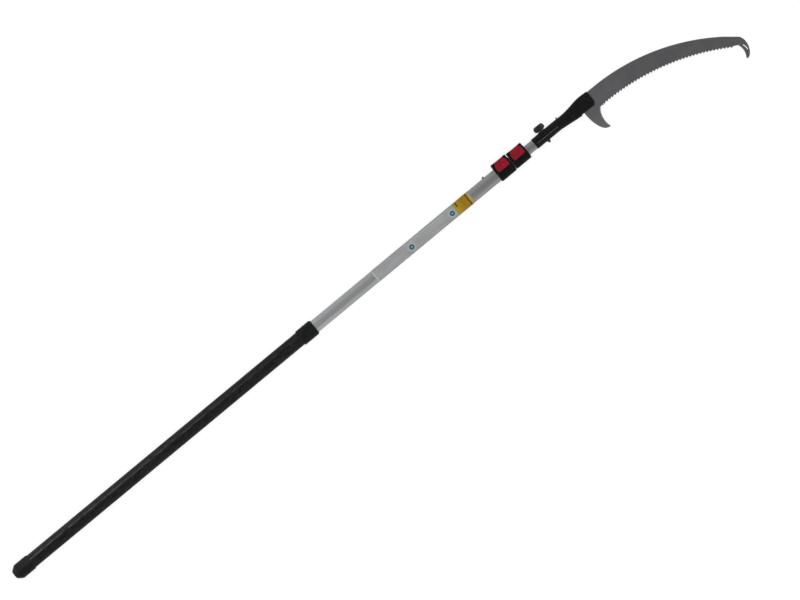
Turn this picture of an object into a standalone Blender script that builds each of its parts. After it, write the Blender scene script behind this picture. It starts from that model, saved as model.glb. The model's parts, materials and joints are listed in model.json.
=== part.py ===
"""Telescopic pole saw: three oval pole sections, two cam locks, and a curved blade in a clamped holder.

It lies flat, collapsed and locked. +X runs along the pole from the butt to the blade, +Y points to
the spine of the blade and to the knob, and +Z points up, square to the blade. The origin is the
centre of the butt's flat end. Lengths are in metres.
"""

import math

import bmesh
import bpy
from mathutils import Vector

# Clearances
mesh_gap = 0.0003  # between pieces that touch on the real saw
film_gap = 0.00015  # under the label films
tube_clearance = 0.001075  # between one pole section and the next, all round

# Pole sections
outer_width = 0.0367
outer_height = 0.029
tube_wall = 0.0011
travel = 1.25  # of each sliding section
tube_sides = 32

# Butt cap, grip and collar
cap_side_wall = 0.0044  # on the flat sides of the cap, the collar and the lower lock
cap_length = 0.059
cap_nose = 0.017
cap_nose_half = 0.0098
cap_floor = 0.014
cap_wall = 0.0039
cap_tail = 0.004
sleeve_length = 0.9417
sleeve_wall = 0.00135
collar_length = 0.0507
collar_wall = 0.0045
collar_chamfer = 0.0045

# Label films
label_gap = 0.2105  # from the collar to the label
label_length = 0.2835
band_length = 0.0546
film_thickness = 0.0002

# Sliding sections: plugs and stops
plug_flange = 0.010
plug_spigot = 0.020
plug_wall = 0.002
plug_gap = 0.007  # from the cap's floor to the first plug, and from a spigot to the next plug
stop_from_end = 0.0704  # from a tube's upper end down to its stop
stop_clearance = 0.0004  # from the stop's tip to the sliding tube
stop_radius = 0.0018
stop_head_radius = 0.0034
stop_head_height = 0.0042
ring_length = 0.012
ring_gap = 0.00015
ring_running_gap = 0.00025

# Locks
lock_gap = 0.0925  # from the yellow band to the lower lock
lock_length = 0.0491
lock_spacing = 0.0033
lower_lock_wall = 0.00435
upper_lock_wall = 0.0054
upper_lock_side_wall = 0.0055
lock_chamfer = 0.0012
lock_rim_height = 0.0011  # oval rim on each end of a lock
lock_rim_inset = 0.0016  # from the lock's bottom and front in to its rims
shoe_thickness = 0.0026
shoe_width = 0.012
cam_radius = 0.0052
cam_offset = 0.0005
knuckle = 0.0062
rear_knuckle = 0.0118  # length of the lock behind the lever's hub
front_knuckle = 0.0103  # and in front of it
pin_radius = 0.002
pin_recess = 0.001
lever_width = 0.0374
lever_thickness = 0.0042
lever_reach = 0.0232  # from the pin down to the lever's end
lever_tail = 0.0036  # from the pin to the lever's back edge, clear of the shoe when it swings open
lever_gap = 0.0004  # between the lever and the front of the lock
bush_length = 0.007
bush_wall = 0.0015
bush_gap = 0.006  # from the end of the fixed tube to the bush
lip_length = 0.0015
lock_screw_radius = 0.0018
lock_screw_head = 0.0034
lock_screw_sink = 0.0005
first_lock_screw = 0.006  # from the lock's lower end
last_lock_screw = 0.0066  # back from the fixed tube's end

# Blade holder
bare_tube = 0.0281  # inner tube that shows below the holder
holder_length = 0.199
holder_sides = 40
socket_length = 0.082
socket_wall = 0.00145
inner_seat = 0.097  # length of inner tube inside the holder
slit_start = 0.008
slit_end = 0.079
slit_width = 0.0016
slit_y = -0.0035
cheek_wall = 0.00755
cheek_chamfer = 0.0012
boss_radius = 0.0105
boss_height = 0.0009
nut_boss_radius = 0.0054
step_margin = 0.0073  # from the step in the cheeks to the sickle
step_drop = 0.00505  # from the socket's edge down to the step
holder_screw_margin = 0.0073  # from the screw to the end of the inner tube
holder_screw_radius = 0.0017
holder_screw_head = 0.003
holder_screw_height = 0.0032

# Sections of the holder past its socket: growth of the top and of the bottom over the socket
holder_growth = (
    (-0.00065, 0.00295),
    (0.00205, 0.00625),
    (0.00485, 0.00715),
    (0.00655, 0.00715),
    (0.00575, 0.00685),
    (0.00535, 0.00225),
    (0.00425, -0.00325),
)
# The same sections: share of the way to the front, share of the socket's depth that is left
# beyond the cheeks', and squareness of the oval
holder_shares = (
    (0.22, 0.95, 2.4),
    (0.45, 0.60, 2.9),
    (0.60, 0.30, 3.3),
    (0.76, 0.10, 3.6),
    (0.92, 0.02, 3.8),
    (0.97, 0.00, 3.8),
    (1.0, 0.00, 3.6),
)

# Clamp knob and bolt
clamp_x = 0.0365
clamp_bolt_radius = 0.0025
bolt_tail = 0.0029
knob_radius = 0.0158
knob_neck_radius = 0.0118
knob_neck = 0.0008
knob_height = 0.0156
knob_bore = 0.011
knob_lobes = 6
lobe_depth = 0.0022
washer_radius = 0.0103
washer_thickness = 0.0010
clamp_nut_radius = 0.0046
clamp_nut_height = 0.003

# Saw blade
blade_thickness = 0.0019
spine_radius = 0.597
spine_crest_x = 0.0199
spine_crest_y = 0.0188
tooth_radius = 0.669
tooth_crest_x = 0.0207
tooth_crest_y = -0.0366
first_tooth_x = 0.0146
tooth_count = 41
tooth_pitch = 0.00945
tooth_depth = 0.0042
tooth_rake = 0.28  # share of the pitch from the gullet to the tip
tang_wall = 0.010  # from the inner tube's end to the tang
tang_half = 0.009
tang_corner = 0.003
tang_shoulder = 0.024
tang_slope = 0.008
tang_rise = 0.002
hook_slot_width = 0.0022

# Blade bolts
rear_bolt_margin = 0.020  # from the tang's rear end
front_bolt_margin = 0.024  # from the holder's front
blade_bolt_radius = 0.0025
bolt_head_radius = 0.0042
bolt_head_height = 0.0026
bolt_seat = 0.0035  # cheek left under the head
square_nut = 0.008
square_nut_height = 0.0032
bolt_end = 0.0012  # bolt past the nut

# Outline points of the tip hook: along the tooth line at its end, and square to it towards the spine
hook_root = (-0.0220, 0.0315)
hook_outer = (
    (-0.0036, 0.0304),
    (0.0134, 0.0285),
    (0.0216, 0.0264),
    (0.0308, 0.0188),
    (0.0369, 0.0095),
    (0.0410, -0.0021),
    (0.0422, -0.0150),
    (0.0398, -0.0262),
    (0.0350, -0.0322),
)
hook_inner = (
    (0.0308, -0.0317),
    (0.0303, -0.0264),
    (0.0281, -0.0154),
    (0.0230, -0.0051),
    (0.0151, 0.0030),
    (0.0099, 0.0052),
    (0.0058, 0.0047),
)
hook_slot = ((0.0262, 0.0048), (0.0325, -0.0012), (0.0366, -0.0078))

# Outline points of the sickle, from the first tooth
sickle_inner = (
    (0.0004, -0.0008),
    (-0.0076, 0.0018),
    (-0.0130, -0.0009),
    (-0.0187, -0.0087),
    (-0.0235, -0.0209),
    (-0.0255, -0.0345),
    (-0.0251, -0.0447),
    (-0.0227, -0.0571),
)
sickle_outer = (
    (-0.0310, -0.0555),
    (-0.0394, -0.0504),
    (-0.0457, -0.0415),
    (-0.0506, -0.0298),
    (-0.0543, -0.0146),
    (-0.0562, 0.0010),
)
sickle_root_x = -0.0567

# Sizes worked out from those above
outer_half = Vector((outer_width / 2, outer_height / 2))
step_in = tube_wall + tube_clearance
middle_half = outer_half - Vector((step_in, step_in))
inner_half = middle_half - Vector((step_in, step_in))
rest_height = outer_half.y + cap_side_wall  # from the pole's axis down to the floor
upper_lock_half = middle_half.y + upper_lock_side_wall
hub_length = lock_length - rear_knuckle - front_knuckle
hub_centre = rear_knuckle + hub_length / 2
tube_seat = lock_length - lip_length - bush_length - bush_gap  # fixed tube inside a lock
lock_screw_places = (first_lock_screw, tube_seat - last_lock_screw)
stop_reach = tube_clearance - stop_clearance  # how far a stop stands into its tube
slot_half = blade_thickness / 2 + mesh_gap
cheek_half = slot_half + cheek_wall
tang_length = holder_length - inner_seat - tang_wall
blade_bolt_places = (
    holder_length - tang_length + rear_bolt_margin,
    holder_length - front_bolt_margin,
)
step_x = holder_length + first_tooth_x + sickle_root_x - step_margin
holder_screw_x = inner_seat - holder_screw_margin

# Places along the pole
collar_x = cap_length + sleeve_length + 2 * mesh_gap
label_x = collar_x + collar_length + label_gap
band_x = label_x + label_length + mesh_gap
lower_lock_x = band_x + band_length + lock_gap
upper_lock_x = lower_lock_x + lock_length + lock_spacing
holder_x = upper_lock_x + lock_length + bare_tube
blade_x = holder_x + holder_length
outer_start = cap_floor + mesh_gap
outer_end = lower_lock_x + tube_seat
middle_start = outer_start + plug_gap + plug_flange
middle_end = upper_lock_x + tube_seat
inner_start = middle_start + plug_spigot + plug_gap + plug_flange
inner_end = holder_x + inner_seat


def clear_scene():
    for obj in list(bpy.data.objects):
        bpy.data.objects.remove(obj, do_unlink=True)


def make_material(name, colour, roughness, metallic=0.0):
    material = bpy.data.materials.new(name)
    material.use_nodes = True
    shader = material.node_tree.nodes["Principled BSDF"]
    shader.inputs["Base Color"].default_value = (*colour, 1.0)
    shader.inputs["Roughness"].default_value = roughness
    shader.inputs["Metallic"].default_value = metallic
    material.diffuse_color = (*colour, 1.0)
    return material


def oval(half_y, half_z, power=2.0, count=tube_sides, centre_y=0.0):
    """Points of a rounded oval in the YZ plane. A higher power gives flatter sides."""
    points = []
    for index in range(count):
        angle = 2 * math.pi * index / count
        c = math.cos(angle)
        s = math.sin(angle)
        y = centre_y + half_y * math.copysign(abs(c) ** (2 / power), c)
        z = half_z * math.copysign(abs(s) ** (2 / power), s)
        points.append((y, z))
    return points


def grown(half, amount):
    return half + Vector((amount, amount))


def inset(points, amount):
    """The outline moved inwards by amount, for a chamfer."""
    moved = []
    count = len(points)
    for index, (y, z) in enumerate(points):
        before = Vector(points[index - 1])
        after = Vector(points[(index + 1) % count])
        along = (after - before).normalized()
        moved.append((y - along.y * amount, z + along.x * amount))
    return moved


def finish_mesh(name, bm, smooth_angle=35.0):
    bmesh.ops.recalc_face_normals(bm, faces=bm.faces)
    mesh = bpy.data.meshes.new(name)
    bm.to_mesh(mesh)
    bm.free()
    mesh.shade_smooth()
    mesh.set_sharp_from_angle(angle=math.radians(smooth_angle))
    return mesh


def skin(name, rings, closed=False):
    """A closed solid through rings of (x, points in YZ). A closed one runs back to its first ring."""
    bm = bmesh.new()
    loops = []
    for x, points in rings:
        loops.append([bm.verts.new((x, y, z)) for y, z in points])
    pairs = list(zip(loops, loops[1:]))
    if closed:
        pairs.append((loops[-1], loops[0]))
    else:
        bm.faces.new(loops[0])
        bm.faces.new(loops[-1])
    for first, second in pairs:
        count = len(first)
        for index in range(count):
            after = (index + 1) % count
            bm.faces.new((first[index], first[after], second[after], second[index]))
    return finish_mesh(name, bm)


def turned(name, profile, count=24, closed=False):
    """A piece turned on the X axis from (x, radius) pairs."""
    rings = [(x, oval(radius, radius, count=count)) for x, radius in profile]
    return skin(name, rings, closed)


def prism(name, outline, low, high):
    """An outline in the XY plane, extruded along Z."""
    bm = bmesh.new()
    base = bm.faces.new([bm.verts.new((x, y, low)) for x, y in outline])
    extruded = bmesh.ops.extrude_face_region(bm, geom=[base])
    for element in extruded["geom"]:
        if isinstance(element, bmesh.types.BMVert):
            element.co.z = high
    return finish_mesh(name, bm)


def box(name, low, high):
    outline = ((low[0], low[1]), (high[0], low[1]), (high[0], high[1]), (low[0], high[1]))
    return prism(name, outline, low[2], high[2])


def curve_through(points, steps=4):
    """A smooth open curve through the points (Catmull-Rom)."""
    ends = [Vector(points[0]), *(Vector(p) for p in points), Vector(points[-1])]
    smooth = []
    for index in range(1, len(ends) - 2):
        p0, p1, p2, p3 = ends[index - 1 : index + 3]
        for step in range(steps):
            t = step / steps
            point = (
                2 * p1
                + (p2 - p0) * t
                + (2 * p0 - 5 * p1 + 4 * p2 - p3) * t * t
                + (3 * p1 - p0 - 3 * p2 + p3) * t * t * t
            )
            smooth.append(point / 2)
    smooth.append(Vector(points[-1]))
    return smooth


def add_empty(name, place, parent=None):
    """An empty on a joint's axis, with its place given in the world."""
    empty = bpy.data.objects.new(name, None)
    bpy.context.scene.collection.objects.link(empty)
    attach(empty, parent, place)
    return empty


def world_place(obj):
    place = obj.location.copy()
    while obj.parent:
        obj = obj.parent
        place += obj.location
    return place


def attach(obj, parent, place):
    obj.location = Vector(place)
    if parent:
        obj.parent = parent
        obj.location -= world_place(parent)


def add_piece(name, mesh, material, place=(0, 0, 0), turn=(0, 0, 0), parent=None):
    obj = bpy.data.objects.new(name, mesh)
    bpy.context.scene.collection.objects.link(obj)
    mesh.materials.append(material)
    attach(obj, parent, place)
    obj.rotation_euler = turn
    return obj


def add_tool(name, mesh, place=(0, 0, 0), turn=(0, 0, 0), parent=None):
    """A shape that cuts or adds to a piece, and isn't a piece itself."""
    obj = bpy.data.objects.new(name, mesh)
    bpy.context.scene.collection.objects.link(obj)
    attach(obj, parent, place)
    obj.rotation_euler = turn
    obj.hide_render = True
    obj.display_type = "WIRE"
    return obj


def combine(obj, tool, operation):
    modifier = obj.modifiers.new(tool.name, "BOOLEAN")
    modifier.operation = operation
    modifier.solver = "EXACT"
    modifier.object = tool


def cut(obj, tool):
    combine(obj, tool, "DIFFERENCE")


def join(obj, tool):
    combine(obj, tool, "UNION")


ALONG_Y = (0, 0, math.pi / 2)  # turns a piece made along X to +Y
ALONG_Z = (0, -math.pi / 2, 0)  # turns a piece made along X to +Z


def tube_mesh(name, half, length):
    inner = half - Vector((tube_wall, tube_wall))
    rings = [
        (0, oval(*half)),
        (length, oval(*half)),
        (length, oval(*inner)),
        (0, oval(*inner)),
    ]
    return skin(name, rings, closed=True)


def sleeve_mesh(name, inner, outer_profile, length):
    """A sleeve with an oval bore. The profile holds (x, half width and half height, power)."""
    rings = [(x, oval(*half, power)) for x, half, power in outer_profile]
    rings += [(length, oval(*inner)), (0, oval(*inner))]
    return skin(name, rings, closed=True)


def make_butt_cap(material):
    half = Vector((outer_half.x + cap_wall, rest_height))
    nose = Vector((cap_nose_half, cap_nose_half * rest_height / half.x))
    bore = grown(outer_half, mesh_gap)
    profile = (
        (0.0, 0.0, 2.2),
        (0.06, 0.16, 2.2),
        (0.50, 0.63, 2.5),
        (0.86, 0.94, 2.8),
        (1.0, 1.0, 3.0),
    )
    rings = []
    for along, share, power in profile:
        rings.append((cap_nose * along, oval(*nose.lerp(half, share), power)))
    lip = half.lerp(bore, 0.55)
    rings += [
        (cap_length - cap_tail, oval(*half, 3.0)),
        (cap_length - cap_tail * 0.3, oval(*half.lerp(lip, 0.6), 2.7)),
        (cap_length, oval(*lip, 2.4)),
        (cap_length, oval(*bore)),
        (cap_floor, oval(*bore)),
    ]
    return add_piece("butt_cap", skin("butt_cap", rings), material)


def make_grip_sleeve(material):
    bore = grown(outer_half, mesh_gap)
    half = grown(bore, sleeve_wall)
    profile = ((0, half, 2.0), (sleeve_length, half, 2.0))
    mesh = sleeve_mesh("grip_sleeve", bore, profile, sleeve_length)
    return add_piece("grip_sleeve", mesh, material, (cap_length + mesh_gap, 0, 0))


def make_grip_collar(material):
    bore = grown(outer_half, mesh_gap)
    half = Vector((outer_half.x + collar_wall, rest_height))
    back = half.lerp(bore, 0.45)
    front = half.lerp(bore, 0.8)
    profile = (
        (0, back, 2.6),
        (collar_chamfer * 0.5, half, 3.0),
        (collar_length - collar_chamfer, half, 3.0),
        (collar_length - collar_chamfer * 0.3, half.lerp(front, 0.55), 2.8),
        (collar_length, front, 2.4),
    )
    mesh = sleeve_mesh("grip_collar", bore, profile, collar_length)
    return add_piece("grip_collar", mesh, material, (collar_x, 0, 0))


def make_film(name, start, length, material):
    bore = grown(outer_half, film_gap)
    half = grown(bore, film_thickness)
    mesh = sleeve_mesh(name, bore, ((0, half, 2.0), (length, half, 2.0)), length)
    return add_piece(name, mesh, material, (start, 0, 0))


def shoe_notch(name, end, half, parent):
    """The notch in a fixed tube's upper end, which lets the brake shoe reach the sliding tube."""
    start = end - tube_seat + hub_centre - hub_length / 2 - 2 * mesh_gap
    low = (start, half.x / 2, -shoe_width / 2 - 2 * mesh_gap)
    high = (end + tube_seat, half.x * 2, shoe_width / 2 + 2 * mesh_gap)
    return add_tool(name, box(name, low, high), parent=parent)


def drill(name, radius, length, place, turn, parent=None):
    """A drill for a hole, centred on its place."""
    mesh = turned(name, ((-length / 2, radius), (length / 2, radius)), count=16)
    return add_tool(name, mesh, place, turn, parent)


def make_outer_tube(material):
    mesh = tube_mesh("outer_tube", outer_half, outer_end - outer_start)
    tube = add_piece("outer_tube", mesh, material, (outer_start, 0, 0))
    cut(tube, shoe_notch("outer_notch", outer_end, outer_half, None))
    place = (outer_end - stop_from_end, outer_half.x, 0)
    hole_radius = stop_radius + mesh_gap
    cut(tube, drill("stop_screw_hole", hole_radius, outer_half.x, place, ALONG_Y))
    drill_lock_screws(tube, "lower", lower_lock_x, outer_half, None)
    return tube


def make_middle_tube(material, parent):
    mesh = tube_mesh("middle_tube", middle_half, middle_end - middle_start)
    tube = add_piece("middle_tube", mesh, material, (middle_start, 0, 0), parent=parent)
    cut(tube, shoe_notch("middle_notch", middle_end, middle_half, parent))
    place = (middle_end - stop_from_end, middle_half.x, 0)
    hole_radius = stop_radius + mesh_gap
    hole = drill("stop_pin_hole", hole_radius, middle_half.x, place, ALONG_Y, parent)
    cut(tube, hole)
    drill_lock_screws(tube, "upper", upper_lock_x, middle_half, parent)
    return tube


def make_inner_tube(material, parent):
    mesh = tube_mesh("inner_tube", inner_half, inner_end - inner_start)
    tube = add_piece("inner_tube", mesh, material, (inner_start, 0, 0), parent=parent)
    clamp_place = (holder_x + clamp_x, 0, 0)
    clamp_radius = clamp_bolt_radius + mesh_gap
    clamp_length = inner_half.x * 4
    cut(tube, drill("tube_clamp_hole", clamp_radius, clamp_length, clamp_place, ALONG_Y, parent))
    screw_place = (holder_x + holder_screw_x, inner_half.x, 0)
    screw_radius = holder_screw_radius + mesh_gap
    cut(tube, drill("tube_screw_hole", screw_radius, inner_half.x, screw_place, ALONG_Y, parent))
    return tube


def make_plug(name, half, outside, start, material, parent):
    """A plug in a sliding tube's lower end, with a flange that runs in the tube outside it."""
    bore = half - Vector((tube_wall + mesh_gap, tube_wall + mesh_gap))
    hollow = grown(bore, -plug_wall)
    flange = outside - Vector((tube_wall + mesh_gap, tube_wall + mesh_gap))
    end = -mesh_gap
    rings = [
        (-plug_flange, oval(*grown(flange, -mesh_gap))),
        (-plug_flange + mesh_gap * 2, oval(*flange)),
        (end, oval(*flange)),
        (end, oval(*bore)),
        (plug_spigot, oval(*bore)),
        (plug_spigot, oval(*hollow)),
        (-plug_flange, oval(*hollow)),
    ]
    return add_piece(name, skin(name, rings, closed=True), material, (start, 0, 0), parent=parent)


def make_stop_ring(name, half, outside, stop_x, material, parent):
    """A ring fixed on a sliding tube, which meets the stop when the tube is right out."""
    bore = grown(half, ring_gap)
    rim = outside - Vector((tube_wall + ring_running_gap, tube_wall + ring_running_gap))
    start = stop_x - stop_radius - mesh_gap - travel - ring_length
    mesh = sleeve_mesh(name, bore, ((0, rim, 2.0), (ring_length, rim, 2.0)), ring_length)
    return add_piece(name, mesh, material, (start, 0, 0), parent=parent)


def domed_screw(name, radius, tip, head_radius, head_height):
    """A screw along X with its tip at tip and a domed head that sits at 0, a gap above the surface."""
    profile = (
        (tip, radius),
        (mesh_gap, radius),
        (mesh_gap, head_radius),
        (mesh_gap + head_height * 0.6, head_radius),
        (mesh_gap + head_height * 0.9, head_radius * 0.75),
        (mesh_gap + head_height, head_radius * 0.4),
    )
    return turned(name, profile, 16)


def make_stop_screw(material):
    """The screw through the outer tube's edge. Its tip stands in the bore and its head outside."""
    name = "lower_stop_screw"
    tip = -tube_wall - stop_reach
    mesh = domed_screw(name, stop_radius, tip, stop_head_radius, stop_head_height)
    place = (outer_end - stop_from_end, outer_half.x, 0)
    return add_piece(name, mesh, material, place, ALONG_Y)


def make_stop_pin(material, parent):
    profile = ((-tube_wall - stop_reach, stop_radius), (-ring_gap, stop_radius))
    place = (middle_end - stop_from_end, middle_half.x, 0)
    mesh = turned("upper_stop_pin", profile, 16)
    return add_piece("upper_stop_pin", mesh, material, place, ALONG_Y, parent)


def lock_screw_place(lock_x, index, half):
    return (lock_x + lock_screw_places[index], -half.x, 0)


def drill_lock_screws(obj, prefix, lock_x, half, parent):
    for index in range(len(lock_screw_places)):
        name = f"{prefix}_{obj.name}_screw_hole_{index + 1}"
        radius = lock_screw_radius + mesh_gap
        place = lock_screw_place(lock_x, index, half)
        cut(obj, drill(name, radius, half.x, place, ALONG_Y, parent))


class Lock:
    """Sizes of one lock, worked out from the tube that it is fixed on and the one that slides."""

    def __init__(self, prefix, start, fixed, sliding, wall, half_z, parent):
        self.prefix = prefix
        self.start = start
        self.fixed = fixed
        self.sliding = sliding
        self.wall = wall
        self.half_z = half_z
        self.parent = parent
        self.bottom = -fixed.x - wall
        self.shoe_low = sliding.x + mesh_gap
        self.shoe_top = self.shoe_low + shoe_thickness
        self.pin_y = self.shoe_top + mesh_gap + cam_radius + cam_offset
        self.top = self.pin_y + knuckle
        self.pin_x = start + hub_centre
        self.floor = self.pin_y - cam_radius - cam_offset - 2 * mesh_gap


def lock_outline(lock):
    """Cross-section of a lock body: an oval round the tube, with a block for the hinge on top."""
    points = []
    steps = 16
    power = 3.4
    for index in range(steps + 1):
        angle = math.pi * index / steps
        c = math.cos(angle)
        s = math.sin(angle)
        y = lock.bottom * abs(s) ** (2 / power)
        z = lock.half_z * math.copysign(abs(c) ** (2 / power), c)
        points.append((y, z))
    lean = math.asin(knuckle / lock.half_z)
    for side in (-1, 1):
        arc = []
        for index in range(5):
            angle = lean * index / 4
            y = lock.pin_y + lock.half_z * math.sin(angle)
            arc.append((y, side * lock.half_z * math.cos(angle)))
        points += arc if side < 0 else arc[::-1]
    return points


def make_lock_body(lock, material):
    name = f"{lock.prefix}_lock_body"
    outline = lock_outline(lock)
    small = inset(outline, lock_chamfer)
    rings = [
        (0, small),
        (lock_chamfer, outline),
        (lock_length - lock_chamfer, outline),
        (lock_length, small),
    ]
    start = (lock.start, 0, 0)
    body = add_piece(name, skin(name, rings), material, start, parent=lock.parent)
    rim = oval(-lock.bottom - lock_rim_inset, lock.half_z - lock_rim_inset)
    rings = [(-lock_rim_height, rim), (lock_length + lock_rim_height, rim)]
    tool_name = f"{name}_rims"
    join(body, add_tool(tool_name, skin(tool_name, rings), start, parent=lock.parent))
    bore = grown(lock.fixed, mesh_gap)
    seat = grown(lock.sliding, bush_wall + 2 * mesh_gap)
    mouth = grown(lock.sliding, 2 * mesh_gap)
    seat_end = lock_length - lip_length
    over = lock_length / 4
    rings = [
        (-over, oval(*bore)),
        (tube_seat + mesh_gap, oval(*bore)),
        (tube_seat + mesh_gap, oval(*seat)),
        (seat_end, oval(*seat)),
        (seat_end, oval(*mouth)),
        (lock_length + over, oval(*mouth)),
    ]
    tool_name = f"{name}_bore"
    cut(body, add_tool(tool_name, skin(tool_name, rings), start, parent=lock.parent))
    half_slot = hub_length / 2 + mesh_gap
    low = (-half_slot, lock.floor, -lock.half_z * 2)
    high = (half_slot, lock.top * 2, lock.half_z * 2)
    place = (lock.pin_x, 0, 0)
    tool_name = f"{name}_slot"
    cut(body, add_tool(tool_name, box(tool_name, low, high), place, parent=lock.parent))
    half_shoe = shoe_width / 2 + mesh_gap
    low = (-half_slot, lock.sliding.x / 2, -half_shoe)
    high = (half_slot, lock.top, half_shoe)
    tool_name = f"{name}_window"
    cut(body, add_tool(tool_name, box(tool_name, low, high), place, parent=lock.parent))
    pin_place = (lock.start + lock_length / 2, lock.pin_y, 0)
    pin_hole = pin_radius + mesh_gap
    no_turn = (0, 0, 0)
    tool_name = f"{name}_pin_hole"
    cut(body, drill(tool_name, pin_hole, lock_length * 2, pin_place, no_turn, lock.parent))
    for index in range(len(lock_screw_places)):
        tool_name = f"{name}_screw_hole_{index + 1}"
        mesh = turned(tool_name, lock_screw_profile(lock, mesh_gap, lock.wall), 16)
        place = lock_screw_place(lock.start, index, lock.fixed)
        cut(body, add_tool(tool_name, mesh, place, ALONG_Y, lock.parent))
    return body


def lock_screw_profile(lock, gap, extra):
    """A countersunk screw from outside (-Y) to inside, or with a gap round it the hole for it."""
    face = lock_screw_sink - lock.wall
    cone_end = face + lock_screw_head - lock_screw_radius
    profile = [(face, lock_screw_head + gap), (cone_end + gap, lock_screw_radius + gap)]
    if extra:
        profile.insert(0, (-lock.wall - extra, lock_screw_head + gap))
        profile.append((extra, lock_screw_radius + gap))
    else:
        profile.append((tube_wall - ring_gap, lock_screw_radius))
    return profile


def make_lock_screws(lock, material):
    for index in range(len(lock_screw_places)):
        name = f"{lock.prefix}_lock_screw_{index + 1}"
        mesh = turned(name, lock_screw_profile(lock, 0, 0), 16)
        place = lock_screw_place(lock.start, index, lock.fixed)
        add_piece(name, mesh, material, place, ALONG_Y, lock.parent)


def make_lock_bush(lock, material):
    name = f"{lock.prefix}_lock_bush"
    bore = grown(lock.sliding, mesh_gap)
    rim = grown(bore, bush_wall)
    start = lock.start + lock_length - lip_length - bush_length - mesh_gap
    mesh = sleeve_mesh(name, bore, ((0, rim, 2.0), (bush_length, rim, 2.0)), bush_length)
    return add_piece(name, mesh, material, (start, 0, 0), parent=lock.parent)


def make_lever_pin(lock, material):
    name = f"{lock.prefix}_lever_pin"
    half = lock_length / 2 - pin_recess
    chamfer = pin_radius / 4
    profile = (
        (-half, pin_radius - chamfer),
        (-half + chamfer, pin_radius),
        (half - chamfer, pin_radius),
        (half, pin_radius - chamfer),
    )
    place = (lock.start + lock_length / 2, lock.pin_y, 0)
    return add_piece(name, turned(name, profile, 16), material, place, parent=lock.parent)


def make_brake_shoe(lock, material):
    """The pad between the cam and the sliding tube, hollowed to the tube's oval."""
    name = f"{lock.prefix}_brake_shoe"
    axis = add_empty(f"{name}_slide", (lock.pin_x, lock.shoe_low, 0), lock.parent)
    half = hub_length / 2 - mesh_gap
    low = (-half, -lock.sliding.x / 5, -shoe_width / 2)
    high = (half, shoe_thickness, shoe_width / 2)
    shoe = add_piece(name, box(name, low, high), material, (lock.pin_x, lock.shoe_low, 0), parent=axis)
    seat = grown(lock.sliding, mesh_gap)
    rings = [(-lock_length, oval(*seat)), (lock_length, oval(*seat))]
    tool_name = f"{name}_seat"
    cut(shoe, add_tool(tool_name, skin(tool_name, rings), (lock.pin_x, 0, 0), parent=axis))
    return shoe


def lever_rings(lock):
    """Cross-sections of the lever, from behind the pin, over the top and down the front face.

    Each gives the outer and the inner surface as (y, z) from the pin, and half the width there.
    """
    front = lock.half_z + lever_gap
    back = -lever_tail
    narrow = hub_length / 2
    wide = lever_width / 2
    growth = wide - narrow
    top = knuckle - mesh_gap
    end = -lever_reach
    t = lever_thickness
    outside = front + t
    return (
        ((top - 0.3 * t, back), (0.2 * t, back), narrow),
        ((top, back + 0.4 * t), (-0.12 * t, back + 0.4 * t), narrow),
        ((top, front - 0.95 * t), (-0.05 * t, front - 0.95 * t), narrow),
        ((top - 0.15 * t, front + 0.3 * t), (-0.35 * t, front - 0.2 * t), narrow),
        ((top - 0.6 * t, outside - 0.3 * t), (-0.6 * t, front), narrow + 0.15 * growth),
        ((top - 1.4 * t, outside), (-1.1 * t, front), narrow + 0.5 * growth),
        ((end * 0.30, outside + 0.1 * t), (end * 0.30, front), wide),
        ((end * 0.65, outside + 0.1 * t), (end * 0.65, front), wide),
        ((end + 0.7 * t, outside), (end + 0.7 * t, front), wide),
        ((end + 0.2 * t, outside - 0.25 * t), (end + 0.2 * t, front), wide - 0.4 * t),
        ((end, outside - 0.5 * t), (end, front + 0.15 * t), wide - 0.9 * t),
    )


def make_lever(lock, material):
    name = f"{lock.prefix}_lever"
    axis = add_empty(f"{name}_axis", (lock.pin_x, lock.pin_y, 0), lock.parent)
    bm = bmesh.new()
    loops = []
    for outer, inner, half in lever_rings(lock):
        corners = ((-half, *outer), (half, *outer), (half, *inner), (-half, *inner))
        loops.append([bm.verts.new(corner) for corner in corners])
    bm.faces.new(loops[0])
    bm.faces.new(loops[-1])
    for first, second in zip(loops, loops[1:]):
        for index in range(4):
            after = (index + 1) % 4
            bm.faces.new((first[index], first[after], second[after], second[index]))
    place = (lock.pin_x, lock.pin_y, 0)
    lever = add_piece(name, finish_mesh(name, bm), material, place, parent=axis)
    bevel = lever.modifiers.new("edges", "BEVEL")
    bevel.width = lever_thickness / 7
    bevel.segments = 1
    bevel.limit_method = "ANGLE"
    bevel.angle_limit = math.radians(50)
    half = hub_length / 2
    cam_mesh = turned(f"{name}_cam", ((-half, cam_radius), (half, cam_radius)), 28)
    cam_place = (lock.pin_x, lock.pin_y - cam_offset, 0)
    join(lever, add_tool(f"{name}_cam", cam_mesh, cam_place, parent=axis))
    hole = drill(f"{name}_pin_hole", pin_radius + mesh_gap, lock_length, place, (0, 0, 0), axis)
    cut(lever, hole)
    return lever


def make_lock(lock, black, red, steel, nylon):
    make_lock_body(lock, black)
    make_lock_screws(lock, steel)
    make_lock_bush(lock, nylon)
    make_lever_pin(lock, steel)
    make_brake_shoe(lock, nylon)
    make_lever(lock, red)


def socket_half():
    return grown(inner_half, mesh_gap + socket_wall)


def holder_ring(x, top, bottom, half_z, power):
    centre = (top + bottom) / 2
    half_y = (top - bottom) / 2
    return (x, oval(half_y, half_z, power, holder_sides, centre))


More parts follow.
